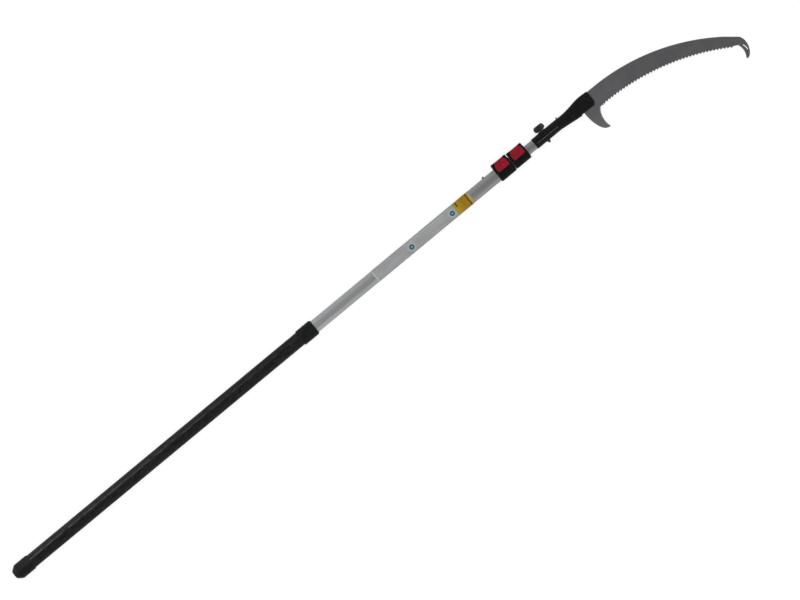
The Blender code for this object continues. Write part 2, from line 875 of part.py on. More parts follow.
def make_blade_holder(material, parent):
    """The socket on the inner tube, flared into two cheeks with the tang between them."""
    name = "blade_holder"
    half = socket_half()
    chamfer = socket_wall / 2
    taper = holder_length - socket_length
    rings = [
        holder_ring(0, half.x - chamfer, chamfer - half.x, half.y - chamfer, 2.0),
        holder_ring(chamfer, half.x, -half.x, half.y, 2.0),
        holder_ring(socket_length, half.x, -half.x, half.y, 2.1),
    ]
    for (top, bottom), (along, share, power) in zip(holder_growth, holder_shares):
        x = socket_length + taper * along
        half_z = cheek_half + (half.y - cheek_half) * share
        if along == 1:
            half_z -= cheek_chamfer
        rings.append(holder_ring(x, half.x + top, -half.x - bottom, half_z, power))
    holder = add_piece(name, skin(name, rings), material, (holder_x, 0, 0), parent=parent)
    seat = half.x + boss_height
    clamp_place = (holder_x + clamp_x, 0, 0)
    boss = turned("knob_boss", ((inner_half.x / 2, boss_radius), (seat, boss_radius)), 28)
    join(holder, add_tool("knob_boss", boss, clamp_place, ALONG_Y, parent))
    boss = turned("nut_boss", ((-seat, nut_boss_radius), (-inner_half.x / 2, nut_boss_radius)), 20)
    join(holder, add_tool("nut_boss", boss, clamp_place, ALONG_Y, parent))
    bore = grown(inner_half, mesh_gap)
    rings = [(-socket_length, oval(*bore)), (inner_seat + mesh_gap, oval(*bore))]
    cut(holder, add_tool("socket_bore", skin("socket_bore", rings), (holder_x, 0, 0), parent=parent))
    low = (slit_start, slit_y - slit_width / 2, -half.y * 2)
    high = (slit_end, slit_y + slit_width / 2, half.y * 2)
    cut(holder, add_tool("socket_slit", box("socket_slit", low, high), (holder_x, 0, 0), parent=parent))
    hole_radius = clamp_bolt_radius + mesh_gap
    cut(holder, drill("clamp_hole", hole_radius, seat * 4, clamp_place, ALONG_Y, parent))
    screw_place = (holder_x + holder_screw_x, half.x, 0)
    screw_radius = holder_screw_radius + mesh_gap
    cut(holder, drill("holder_screw_hole", screw_radius, half.x, screw_place, ALONG_Y, parent))
    low = (step_x, -half.x * 4, -half.y * 2)
    high = (holder_length * 2, -half.x - step_drop, half.y * 2)
    cut(holder, add_tool("cheek_step", box("cheek_step", low, high), (holder_x, 0, 0), parent=parent))
    slot = prism("blade_slot", blade_slot_outline(), -slot_half, slot_half)
    cut(holder, add_tool("blade_slot", slot, (blade_x, 0, 0), parent=parent))
    cut_bolt_seats(holder, half.y, parent)
    return holder


def cut_bolt_seats(holder, depth, parent):
    """Counterbores at the back, holes, and square pockets for the nuts in the front cheek."""
    head_seat = slot_half + bolt_seat
    nut_top = slot_half + square_nut_height + 2 * mesh_gap
    hole_end = nut_top + bolt_end
    half_nut = square_nut / 2 + mesh_gap
    for index, along in enumerate(blade_bolt_places):
        place = (holder_x + along, 0, 0)
        name = f"head_seat_{index + 1}"
        radius = bolt_head_radius + mesh_gap
        mesh = turned(name, ((-depth * 2, radius), (-head_seat, radius)), 20)
        cut(holder, add_tool(name, mesh, place, ALONG_Z, parent))
        name = f"bolt_hole_{index + 1}"
        radius = blade_bolt_radius + mesh_gap
        mesh = turned(name, ((-depth, radius), (hole_end, radius)), 16)
        cut(holder, add_tool(name, mesh, place, ALONG_Z, parent))
        name = f"nut_pocket_{index + 1}"
        mesh = box(name, (-half_nut, -half_nut, 0), (half_nut, half_nut, nut_top))
        cut(holder, add_tool(name, mesh, place, parent=parent))


def make_blade_bolts(material, parent):
    head_seat = slot_half + bolt_seat + mesh_gap
    shank_end = slot_half + mesh_gap + square_nut_height + bolt_end - mesh_gap
    top = -head_seat - bolt_head_height
    for index, along in enumerate(blade_bolt_places):
        name = f"blade_bolt_{index + 1}"
        place = (holder_x + along, 0, 0)
        profile = (
            (top, bolt_head_radius * 0.8),
            (top + bolt_head_height * 0.3, bolt_head_radius),
            (-head_seat, bolt_head_radius),
            (-head_seat, blade_bolt_radius),
            (shank_end, blade_bolt_radius),
        )
        add_piece(name, turned(name, profile, 16), material, place, ALONG_Z, parent)
        name = f"blade_nut_{index + 1}"
        half = square_nut / 2
        low = slot_half + mesh_gap
        mesh = box(name, (-half, -half, low), (half, half, low + square_nut_height))
        nut = add_piece(name, mesh, material, place, parent=parent)
        radius = blade_bolt_radius + mesh_gap
        cut(nut, drill(f"{name}_hole", radius, square_nut * 3, place, ALONG_Z, parent))


def spine_y(x):
    """Height of the blade's spine at x, both measured from the holder's front face."""
    centre_y = spine_crest_y - spine_radius
    return centre_y + math.sqrt(spine_radius**2 - (x - spine_crest_x) ** 2)


def tang_outline(gap=0.0):
    """The tang's top, rear and bottom edges, from the spine round to the sickle's root."""
    rear = -tang_length - gap
    sickle_x = first_tooth_x + sickle_root_x - gap
    return [
        (-tang_shoulder, spine_y(-tang_shoulder) + gap),
        (-tang_shoulder - tang_slope, tang_half + tang_rise + gap),
        (rear + tang_corner, tang_half + gap),
        (rear, tang_half - tang_corner + gap),
        (rear, tang_corner - tang_half - gap),
        (rear + tang_corner, -tang_half - gap),
        (sickle_x, -tang_half - gap),
    ]


def blade_slot_outline():
    """The slot for the blade between the cheeks, open at the front and below the sickle."""
    front = holder_length / 10
    outline = tang_outline(mesh_gap)
    below = -socket_half().x * 3
    sickle_x = outline[-1][0]
    return [
        (front, spine_y(0) + mesh_gap),
        (0, spine_y(0) + mesh_gap),
        *outline,
        (sickle_x, below),
        (front, below),
    ]


def tooth_place(arc, inwards=0.0):
    """A point on the tooth line, arc metres from its crest, and further in by inwards."""
    angle = arc / tooth_radius
    radius = tooth_radius + inwards
    centre_y = tooth_crest_y - tooth_radius
    return (tooth_crest_x + radius * math.sin(angle), centre_y + radius * math.cos(angle))


def hook_frame():
    """The end of the tooth line, with the directions along it and square to it."""
    arc = tooth_line_start() + tooth_count * tooth_pitch
    angle = arc / tooth_radius
    along = Vector((math.cos(angle), -math.sin(angle)))
    across = Vector((math.sin(angle), math.cos(angle)))
    return Vector(tooth_place(arc)), along, across


def tooth_line_start():
    return tooth_radius * math.asin((first_tooth_x - tooth_crest_x) / tooth_radius)


def blade_outline():
    """The whole blade, from the tang's shoulder along the spine, round the hook and back by the teeth."""
    end, along, across = hook_frame()
    outer = [end + along * u + across * v for u, v in hook_outer]
    inner = [end + along * u + across * v for u, v in hook_inner]
    centre = Vector((spine_crest_x, spine_crest_y - spine_radius))
    reach = end + along * hook_root[0] + across * hook_root[1] - centre
    last_angle = math.atan2(reach.x, reach.y)
    first_angle = math.asin((-tang_shoulder - spine_crest_x) / spine_radius)
    steps = 22
    spine = []
    for index in range(1, steps + 1):
        angle = first_angle + (last_angle - first_angle) * index / steps
        spine.append(centre + spine_radius * Vector((math.sin(angle), math.cos(angle))))
    hook = curve_through([spine[-1], *outer, *inner], 3)[1:]
    teeth = []
    start = tooth_line_start()
    for index in range(tooth_count, 0, -1):
        arc = start + index * tooth_pitch
        teeth.append(Vector(tooth_place(arc, tooth_depth)))
        teeth.append(Vector(tooth_place(arc - tooth_pitch * (1 - tooth_rake))))
    heel = Vector(tooth_place(start))
    inner_side = [heel + Vector(point) for point in sickle_inner]
    outer_side = [heel + Vector(point) for point in sickle_outer]
    sickle = curve_through(inner_side, 3) + curve_through(outer_side, 2)
    tang = [Vector(point) for point in reversed(tang_outline())]
    return spine + hook + teeth + sickle + tang


def make_saw_blade(material, parent):
    name = "saw_blade"
    half = blade_thickness / 2
    mesh = prism(name, blade_outline(), -half, half)
    blade = add_piece(name, mesh, material, (blade_x, 0, 0), parent=parent)
    end, along, across = hook_frame()
    middle = [end + along * u + across * v for u, v in hook_slot]
    line = curve_through(middle, 3)
    left = []
    right = []
    for index, point in enumerate(line):
        ahead = line[min(index + 1, len(line) - 1)] - line[max(index - 1, 0)]
        side = Vector((-ahead.y, ahead.x)).normalized() * hook_slot_width / 2
        left.append(point + side)
        right.append(point - side)
    outline = left + right[::-1]
    slot = prism("hook_slot", outline, -half * 3, half * 3)
    cut(blade, add_tool("hook_slot", slot, (blade_x, 0, 0), parent=parent))
    for index, place_x in enumerate(blade_bolt_places):
        radius = blade_bolt_radius + mesh_gap
        place = (holder_x + place_x, 0, 0)
        cut(blade, drill(f"tang_hole_{index + 1}", radius, half * 6, place, ALONG_Z, parent))
    return blade


def lobed(radius, depth, count=48):
    points = []
    for index in range(count):
        angle = 2 * math.pi * index / count
        here = radius - depth * (1 - math.cos(knob_lobes * angle)) / 2
        points.append((here * math.cos(angle), here * math.sin(angle)))
    return points


def hexagon(radius, count):
    """Points round a hexagon, radius being that of its corners."""
    points = []
    for index in range(count):
        angle = 2 * math.pi * index / count
        from_corner = angle % (math.pi / 3) - math.pi / 6
        here = radius * math.cos(math.pi / 6) / math.cos(from_corner)
        points.append((here * math.cos(angle), here * math.sin(angle)))
    return points


def clamp_seat():
    """Distance from the pole's axis to the flat top of a clamp boss, with the gap on it."""
    return socket_half().x + boss_height + mesh_gap


def make_clamp(black, dark_steel, parent):
    """The knob turns with its bolt. The washer and the nut stay on the holder."""
    place = (holder_x + clamp_x, 0, 0)
    axis = add_empty("clamp_knob_axis", place, parent)
    washer_top = clamp_seat() + washer_thickness
    hole = clamp_bolt_radius + mesh_gap
    rings = (
        (clamp_seat(), hole),
        (clamp_seat(), washer_radius),
        (washer_top, washer_radius),
        (washer_top, hole),
    )
    mesh = turned("clamp_washer", rings, 24, closed=True)
    add_piece("clamp_washer", mesh, dark_steel, place, ALONG_Y, parent)
    low = washer_top + mesh_gap
    neck = low + knob_neck
    top = neck + knob_height
    rings = [
        (low + knob_bore, lobed(hole, 0)),
        (low, lobed(hole, 0)),
        (low, lobed(knob_neck_radius, 0)),
        (neck, lobed(knob_neck_radius, 0)),
        (neck + knob_height * 0.07, lobed(knob_radius * 0.90, lobe_depth * 0.5)),
        (neck + knob_height * 0.18, lobed(knob_radius, lobe_depth)),
        (top - knob_height * 0.45, lobed(knob_radius, lobe_depth)),
        (top - knob_height * 0.25, lobed(knob_radius * 0.95, lobe_depth)),
        (top - knob_height * 0.12, lobed(knob_radius * 0.87, lobe_depth)),
        (top, lobed(knob_radius * 0.72, lobe_depth * 0.6)),
    ]
    add_piece("clamp_knob", skin("clamp_knob", rings), black, place, ALONG_Y, axis)
    nut_low = -clamp_seat() - clamp_nut_height
    tail = nut_low - bolt_tail
    profile = (
        (tail, clamp_bolt_radius * 0.75),
        (tail + clamp_bolt_radius * 0.25, clamp_bolt_radius),
        (low + knob_bore - mesh_gap, clamp_bolt_radius),
    )
    add_piece("clamp_bolt", turned("clamp_bolt", profile, 16), dark_steel, place, ALONG_Y, axis)
    bore = oval(hole, hole, count=24)
    rings = (
        (nut_low, bore),
        (nut_low, hexagon(clamp_nut_radius, 24)),
        (-clamp_seat(), hexagon(clamp_nut_radius, 24)),
        (-clamp_seat(), bore),
    )
    add_piece("clamp_nut", skin("clamp_nut", rings, closed=True), dark_steel, place, ALONG_Y, parent)


def make_holder_screw(material, parent):
    name = "holder_screw"
    tip = -socket_wall - 2 * tube_wall
    mesh = domed_screw(name, holder_screw_radius, tip, holder_screw_head, holder_screw_height)
    place = (holder_x + holder_screw_x, socket_half().x, 0)
    add_piece(name, mesh, material, place, ALONG_Y, parent)


def main():
    clear_scene()
    rubber = make_material("black_rubber", (0.013, 0.013, 0.014), 0.75)
    aluminium = make_material("anodised_aluminium", (0.45, 0.46, 0.46), 0.42, 1.0)
    silver = make_material("silver_film", (0.36, 0.36, 0.36), 0.45)
    yellow = make_material("yellow_film", (0.48, 0.33, 0.03), 0.45)
    black = make_material("black_nylon", (0.012, 0.012, 0.012), 0.5)
    red = make_material("red_nylon", (0.27, 0.016, 0.03), 0.4)
    nylon = make_material("grey_nylon", (0.25, 0.25, 0.24), 0.5)
    steel = make_material("zinc_plated_steel", (0.4, 0.4, 0.41), 0.35, 1.0)
    dark_steel = make_material("blackened_steel", (0.04, 0.04, 0.04), 0.45, 1.0)
    blade_steel = make_material("saw_steel", (0.16, 0.16, 0.17), 0.4, 1.0)
    coated = make_material("black_coated_alloy", (0.01, 0.01, 0.01), 0.5)

    middle = add_empty("middle_slide", (middle_end, 0, 0))
    inner = add_empty("inner_slide", (holder_x, 0, 0), middle)

    make_butt_cap(rubber)
    make_grip_sleeve(rubber)
    make_grip_collar(rubber)
    make_outer_tube(aluminium)
    make_film("silver_label", label_x, label_length, silver)
    make_film("yellow_band", band_x, band_length, yellow)
    make_stop_screw(steel)

    make_middle_tube(aluminium, middle)
    make_plug("middle_tube_plug", middle_half, outer_half, middle_start, nylon, middle)
    stop_x = outer_end - stop_from_end
    make_stop_ring("middle_stop_ring", middle_half, outer_half, stop_x, nylon, middle)
    make_stop_pin(steel, middle)

    make_inner_tube(aluminium, inner)
    make_plug("inner_tube_plug", inner_half, middle_half, inner_start, nylon, inner)
    stop_x = middle_end - stop_from_end
    make_stop_ring("inner_stop_ring", inner_half, middle_half, stop_x, nylon, inner)

    lower = Lock("lower", lower_lock_x, outer_half, middle_half, lower_lock_wall, rest_height, None)
    tubes = (middle_half, inner_half)
    upper = Lock("upper", upper_lock_x, *tubes, upper_lock_wall, upper_lock_half, middle)
    make_lock(lower, black, red, steel, nylon)
    make_lock(upper, black, red, steel, nylon)

    make_blade_holder(coated, inner)
    make_saw_blade(blade_steel, inner)
    make_blade_bolts(steel, inner)
    make_clamp(black, dark_steel, inner)
    make_holder_screw(steel, inner)


main()
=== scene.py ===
import json
import math

import bmesh
import bpy
from mathutils import Matrix, Vector


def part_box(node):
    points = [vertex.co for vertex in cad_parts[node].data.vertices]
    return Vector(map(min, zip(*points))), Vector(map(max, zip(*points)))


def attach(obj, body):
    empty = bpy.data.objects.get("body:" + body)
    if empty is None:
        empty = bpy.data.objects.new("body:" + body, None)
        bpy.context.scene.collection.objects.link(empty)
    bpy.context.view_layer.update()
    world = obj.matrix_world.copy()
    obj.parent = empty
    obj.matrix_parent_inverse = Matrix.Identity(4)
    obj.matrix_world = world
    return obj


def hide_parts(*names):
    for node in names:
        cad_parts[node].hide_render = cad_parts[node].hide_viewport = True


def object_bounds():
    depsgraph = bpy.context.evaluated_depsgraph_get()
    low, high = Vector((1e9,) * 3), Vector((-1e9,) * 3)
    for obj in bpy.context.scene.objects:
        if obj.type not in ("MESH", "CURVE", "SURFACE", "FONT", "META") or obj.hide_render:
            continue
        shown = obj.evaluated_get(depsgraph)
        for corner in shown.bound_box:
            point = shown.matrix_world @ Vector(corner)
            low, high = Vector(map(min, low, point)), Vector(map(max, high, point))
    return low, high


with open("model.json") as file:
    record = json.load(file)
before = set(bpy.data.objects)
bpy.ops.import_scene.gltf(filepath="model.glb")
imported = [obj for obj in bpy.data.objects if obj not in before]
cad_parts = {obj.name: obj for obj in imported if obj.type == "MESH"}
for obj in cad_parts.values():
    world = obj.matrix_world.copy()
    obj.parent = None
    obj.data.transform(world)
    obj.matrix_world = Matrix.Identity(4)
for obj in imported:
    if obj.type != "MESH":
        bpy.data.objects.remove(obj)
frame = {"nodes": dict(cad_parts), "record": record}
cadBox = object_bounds()

alongY = Matrix.Rotation(math.pi / 2, 4, "Z")  # turns a piece made along X to +Y
alongZ = Matrix.Rotation(-math.pi / 2, 4, "Y")  # turns a piece made along X to +Z
gap = 0.0003  # left between two pieces, and the rounding of small turned edges
sliver = 0.000003  # edges up to this length are closed up


# colours are written as sRGB hex values
def linear(hexColour):
    values = [int(hexColour[start : start + 2], 16) / 255 for start in (1, 3, 5)]
    return (*(v / 12.92 if v <= 0.04045 else ((v + 0.055) / 1.055) ** 2.4 for v in values), 1.0)


# a kind without Node in its name is a shader node. A value that is a node or an output is linked,
# and a list of them one by one. Any other is set on the socket of that name or number, if the node
# has one, and else on the property
def addNode(tree, kind, values=None):
    node = tree.nodes.new(kind if "Node" in kind else "ShaderNode" + kind)
    for key, value in (values or {}).items():
        sources = value if isinstance(value, list) else [value]
        sources = [item.outputs[0] if isinstance(item, bpy.types.Node) else item for item in sources]
        if isinstance(sources[0], bpy.types.NodeSocket):
            for source in sources:
                tree.links.new(source, node.inputs[key])
        elif isinstance(key, int) or key in node.inputs:
            node.inputs[key].default_value = value
        else:
            setattr(node, key, value)
    return node


def addObject(name, data):
    obj = bpy.data.objects.new(name, data)
    bpy.context.scene.collection.objects.link(obj)
    return obj


camera = {
    "seenWidth": 2.160,  # metres across the picture, at the pole's axis
    "aim": (1.2751, -0.0918, 0.0),
    "climb": 39.65,  # degrees that the pole rises in the picture
    "lens": 200.0,
    "sensor": 36.0,
}
studio = {
    "floorColour": "#9a9a9a",
    "floorGlow": 0.80,  # brings the lit floor to white and leaves its shadows
    "floorSize": 60.0,
    "sky": 0.80,
    "ceiling": 0.65,  # what polished metal mirrors from above
    "horizon": 0.88,
}
lamps = (
    # name, place, aimed at, width, length, watts
    ("keyStrip", (1.2, 2.5, 1.8), (1.2, 0.0, 0.0), 1.5, 3.6, 6.5),
    ("fillStrip", (1.2, -2.6, 1.3), (1.2, 0.0, 0.0), 1.1, 3.6, 8.5),
    ("endLamp", (4.6, 0.6, 1.6), (1.6, 0.0, 0.0), 1.2, 1.2, 5.0),
)


def makeCamera():
    data = bpy.data.cameras.new("camera")
    data.lens = camera["lens"]
    data.sensor_width = camera["sensor"]
    data.clip_start = 0.5
    data.clip_end = 100.0
    turn = math.radians(camera["climb"])
    right = Vector((math.cos(turn), -math.sin(turn), 0.0))
    up = Vector((math.sin(turn), math.cos(turn), 0.0))
    stand = Vector(camera["aim"])
    stand.z += camera["seenWidth"] * camera["lens"] / camera["sensor"]
    facing = Matrix((right, up, right.cross(up))).transposed().to_4x4()
    bpy.context.scene.camera = addObject("camera", data)
    bpy.context.scene.camera.matrix_world = Matrix.Translation(stand) @ facing


def makeLamps():
    for name, stand, aim, width, length, watts in lamps:
        data = bpy.data.lights.new(name, "AREA")
        data.shape = "RECTANGLE"
        data.size = length
        data.size_y = width
        data.energy = watts
        obj = addObject(name, data)
        obj.location = stand
        back = (Vector(stand) - Vector(aim)).normalized()
        along = Vector((1, 0, 0)) if abs(back.x) < 0.7 else Vector((0, 1, 0))
        across = back.cross(along).normalized()
        obj.rotation_euler = Matrix((across.cross(back), across, back)).transposed().to_euler()


def emptyTree(owner):
    owner.use_nodes = True
    owner.node_tree.nodes.clear()
    return owner.node_tree


# an even level for plain surfaces, a gradient for gloss to mirror, and white for the camera
def makeSky():
    world = bpy.data.worlds.new("softStudio")
    bpy.context.scene.world = world
    tree = emptyTree(world)
    rays = addNode(tree, "LightPath").outputs
    direction = addNode(tree, "TexCoord").outputs["Generated"]
    mirrored = {"Value": addNode(tree, "SeparateXYZ", {0: direction}).outputs["Z"]}
    mirrored |= {"From Min": 0.2, "To Min": studio["horizon"]}
    mirrored |= {"From Max": 0.95, "To Max": studio["ceiling"]}
    mirrored = addNode(tree, "MapRange", mirrored)
    gloss = addNode(tree, "Math", {"operation": "MULTIPLY", 0: mirrored, 1: rays["Is Glossy Ray"]})
    soft = addNode(tree, "Math", {"operation": "SUBTRACT", 0: 1.0, 1: rays["Is Glossy Ray"]})
    level = addNode(tree, "Math", {"operation": "MULTIPLY_ADD", 0: soft, 1: studio["sky"], 2: gloss})
    seen = {"operation": "MAXIMUM", 0: rays["Is Camera Ray"], 1: rays["Is Transmission Ray"]}
    seen = addNode(tree, "Math", seen)
    strength = addNode(tree, "Mix", {"data_type": "FLOAT", 0: seen, 2: level, 3: 1.0})
    light = addNode(tree, "Background", {"Color": linear("#ffffff"), "Strength": strength})
    addNode(tree, "OutputWorld", {"Surface": light})


# painted studio floor: plain and matt, white where the light is even
def makeFloor():
    bm = bmesh.new()
    bmesh.ops.create_grid(bm, x_segments=6, y_segments=6, size=studio["floorSize"] / 2)
    mesh = bpy.data.meshes.new("studioFloor")
    bm.to_mesh(mesh)
    bm.free()
    middle = (cadBox[0] + cadBox[1]) / 2
    mesh.transform(Matrix.Translation((middle.x, middle.y, cadBox[0].z - 0.0001)))
    material = bpy.data.materials.new("studioPaint")
    tree = emptyTree(material)
    rays = addNode(tree, "LightPath").outputs
    seen = {"operation": "MAXIMUM", 0: rays["Is Camera Ray"], 1: rays["Is Glossy Ray"]}
    seen = {"operation": "MAXIMUM", 0: addNode(tree, "Math", seen), 1: rays["Is Transmission Ray"]}
    glow = {"operation": "MULTIPLY", 0: addNode(tree, "Math", seen), 1: studio["floorGlow"]}
    glow = {"Color": linear("#ffffff"), "Strength": addNode(tree, "Math", glow)}
    paint = addNode(tree, "BsdfDiffuse", {"Color": linear(studio["floorColour"])})
    both = addNode(tree, "AddShader", {0: paint, 1: addNode(tree, "Emission", glow)})
    addNode(tree, "OutputMaterial", {"Surface": both})
    mesh.materials.append(material)
    addObject("studioFloor", mesh)


bpy.context.scene.view_settings.view_transform = "Standard"
makeCamera()
makeLamps()
makeSky()
makeFloor()
print("studio ready")


# every finish is a Principled shader with patterns on Object coordinates
def startMaterial(name, metallic, specular):
    material = bpy.data.materials.new(name)
    material.use_nodes = True
    tree = material.node_tree
    shader = tree.nodes["Principled BSDF"]
    shader.inputs["Metallic"].default_value = metallic
    shader.inputs["Specular IOR Level"].default_value = specular
    return material, tree, addNode(tree, "TexCoord").outputs["Object"]


# noise whose spots are about size metres across, drawn out by stretch along X, Y and Z
def grain(tree, spot, size, stretch=(1, 1, 1), detail=2.0):
    scale = tuple(1 / (size * share) for share in stretch)
    mapping = addNode(tree, "Mapping", {"Vector": spot, "Scale": scale})
    return addNode(tree, "TexNoise", {"Vector": mapping, "Scale": 1.0, "Detail": detail}).outputs["Fac"]


# a colour laid over another, from none of it where value is start to all of it at full
def paint(tree, under, hexColour, value, start, full, within=None):
    share = addNode(tree, "MapRange", {"Value": value, "From Min": start, "From Max": full})
    if within is not None:
        share = addNode(tree, "Math", {"operation": "MULTIPLY", 0: share, 1: within})
    under = linear(under) if isinstance(under, str) else under
    mix = {"data_type": "RGBA", 0: share, 6: under, 7: linear(hexColour)}
    return addNode(tree, "Mix", mix).outputs[2]


# a colour laid where value is under limit, with an edge that is twice soft wide
def paintUnder(tree, under, hexColour, value, limit, soft, within=None):
    return paint(tree, under, hexColour, value, limit + soft, limit - soft, within)


# the colour from a share darkest to a share lightest of itself, as the pattern goes from low to high
def vary(tree, colour, pattern, low, high, darkest, lightest):
    shade = {"Value": pattern, "From Min": low, "From Max": high, "To Min": darkest, "To Max": lightest}
    shade = {"operation": "SCALE", 0: colour, "Scale": addNode(tree, "MapRange", shade)}
    return addNode(tree, "VectorMath", shade).outputs[0]


# the distance of a coordinate from a line, which is positive on both sides of it
def awayFrom(tree, coordinate, line):
    offset = addNode(tree, "Math", {"operation": "SUBTRACT", 0: coordinate, 1: line})
    return addNode(tree, "Math", {"operation": "ABSOLUTE", 0: offset})


# the places along and across the pole, and 1 on its front and 0 behind
def poleSides(tree, spot):
    split = addNode(tree, "SeparateXYZ", {0: spot}).outputs
    front = addNode(tree, "Math", {"operation": "GREATER_THAN", 0: split["Z"], 1: 0.0})
    return split["X"], split["Y"], front


# how near an outward edge is, broken up by a grain: where hands and knocks rub it, and on the red levers
# and the knob also where a painted highlight lies
def edgeWearAndHighlight(tree, spot, size):
    near = {"inside": True, "only_local": True, "samples": 6, "Distance": size * 0.22}
    near = addNode(tree, "AmbientOcclusion", near).outputs["AO"]
    edge = addNode(tree, "MapRange", {"Value": near, "From Min": 0.96, "From Max": 0.6})
    broken = {"Value": grain(tree, spot, size, detail=4.0), "From Min": 0.38, "From Max": 0.56}
    broken = addNode(tree, "MapRange", broken)
    return addNode(tree, "Math", {"operation": "MULTIPLY", 0: edge, 1: broken})


# the material's colour, its bump of that depth in metres and a roughness that follows the same grain
def finish(material, colour, height, depth, strength, roughness):
    tree = material.node_tree
    bump = addNode(tree, "Bump", {"Height": height, "Distance": depth, "Strength": strength})
    wearAndSheen = {"From Min": 0.3, "From Max": 0.7, "To Min": roughness[0], "To Max": roughness[1]}
    wearAndSheen = addNode(tree, "MapRange", wearAndSheen | {"Value": height})
    shader = tree.nodes["Principled BSDF"].inputs
    tree.links.new(colour, shader["Base Color"])
    tree.links.new(bump.outputs[0], shader["Normal"])
    tree.links.new(wearAndSheen.outputs[0], shader["Roughness"])
    return material


# moulded EPDM rubber: deep black and matt, with a faint grey bloom, more of it on the edges, and
# a painted highlight that makes the butt's cap paler along one side
def makeRubber():
    look = {
        "black": "#0d0e0e", "bloom": "#1a1c1d", "scuffAndSheen": "#242526", "edge": "#37393a",
        "bloomSize": 0.014, "grainSize": 0.0009, "edgeSize": 0.006,
        "sheenEnd": 0.06,  # only the cap lies nearer the butt than this
        "sheenSide": (-0.004, 0.004),  # where it starts and is full, across the pole
    }
    material, tree, spot = startMaterial("mouldedRubber", 0.0, 0.16)
    patch = grain(tree, spot, look["bloomSize"], detail=3.0)
    colour = paint(tree, look["black"], look["bloom"], patch, 0.4, 0.7)
    # painted highlight: the cap's side towards the key lamp is drawn paler, broken up by the bloom's
    # grain
    split = addNode(tree, "SeparateXYZ", {0: spot}).outputs
    butt = addNode(tree, "Math", {"operation": "LESS_THAN", 0: split["X"], 1: look["sheenEnd"]})
    butt = addNode(tree, "Math", {"operation": "MULTIPLY_ADD", 0: butt, 1: 0.7, 2: patch})
    wearAndSheen = addNode(tree, "MapRange", {"Value": butt, "From Min": 0.75, "From Max": 1.15})
    colour = paint(tree, colour, look["scuffAndSheen"], split["Y"], *look["sheenSide"], wearAndSheen)
    colour = paint(tree, colour, look["edge"], edgeWearAndHighlight(tree, spot, look["edgeSize"]), 0.0, 1.4)
    return finish(material, colour, grain(tree, spot, look["grainSize"]), 0.0002, 1.0, (0.52, 0.68))


# shrunk vinyl sleeve: black, mottled where it clings to the tube, with a painted highlight, a paler
# streak and side along its front, which fade away from the butt. The real orange peel is under
# 1 mm wide and wouldn't show, so it is drawn at 2 mm
def makeSleeveVinyl():
    look = {
        "black": "#060606", "wearAndSheen": "#1a1b1b", "highlight": "#4c4c4c", "side": "#2d2e2e",
        "mottle": 0.007, "highlightBreak": 0.008, "peel": 0.0022,
        "highlightAt": 0.0066,  # from the front's middle line
        "highlightHalf": 0.0036,
        "litSideFrom": (0.0025, 0.0075),
        "fade": (0.15, 1.0, 0.12),  # its start and end along the pole, and what is left there
    }
    material, tree, spot = startMaterial("shrunkVinyl", 0.0, 0.18)
    patch = grain(tree, spot, look["mottle"], (2.2, 1, 1), 4.0)
    highlightBreak = grain(tree, spot, look["highlightBreak"], (2.4, 1, 1), 3.0)
    colour = paint(tree, look["black"], look["wearAndSheen"], patch, 0.38, 0.66)
    x, y, front = poleSides(tree, spot)
    start, end, left = look["fade"]
    fade = {"Value": x, "From Min": start, "From Max": end, "To Min": 1.0, "To Max": left}
    fade = addNode(tree, "Math", {"operation": "MULTIPLY", 0: front, 1: addNode(tree, "MapRange", fade)})
    masks = []
    for pattern, none, full in ((patch, 0.28, 0.53), (highlightBreak, 0.31, 0.58)):
        mask = addNode(tree, "MapRange", {"Value": pattern, "From Min": none, "From Max": full})
        masks.append(addNode(tree, "Math", {"operation": "MULTIPLY", 0: mask, 1: fade}))
    # painted highlight: a paler side and a paler streak along the front, where the lamps shine on the
    # sleeve
    colour = paint(tree, colour, look["side"], y, *look["litSideFrom"], masks[0])
    away, half = awayFrom(tree, y, look["highlightAt"]), look["highlightHalf"]
    colour = paint(tree, colour, look["highlight"], away, half, half * 0.3, masks[1])
    peel = grain(tree, spot, look["peel"], (1.6, 1, 1), 3.0)
    mixed = addNode(tree, "Math", {"operation": "MULTIPLY_ADD", 0: patch, 1: 0.7, 2: peel})
    return finish(material, colour, mixed, 0.0004, 0.8, (0.4, 0.58))


# drawn and anodised aluminium: satin grey, with die lines along the tube. Real die lines are
# 0.1 mm wide; these are 1.6 mm so that they show
def makeAluminium():
    look = {"lower": "#a2a4a5", "upper": "#858585", "line": 0.0016, "lineLength": 0.5, "cloud": 0.12}
    material, tree, spot = startMaterial("anodisedAluminium", 1.0, 0.5)
    along = addNode(tree, "SeparateXYZ", {0: spot}).outputs["X"]
    colour = paint(tree, look["lower"], look["upper"], along, 1.05, 1.8)
    lines = grain(tree, spot, look["line"], (look["lineLength"] / look["line"], 1, 1), 3.0)
    clouds = grain(tree, spot, look["cloud"], (2, 0.3, 0.3))
    mixed = addNode(tree, "Math", {"operation": "MULTIPLY_ADD", 0: clouds, 1: 0.5, 2: lines})
    colour = vary(tree, colour, mixed, 0.45, 1.05, 0.84, 1.12)
    return finish(material, colour, lines, 0.00006, 0.5, (0.38, 0.48))


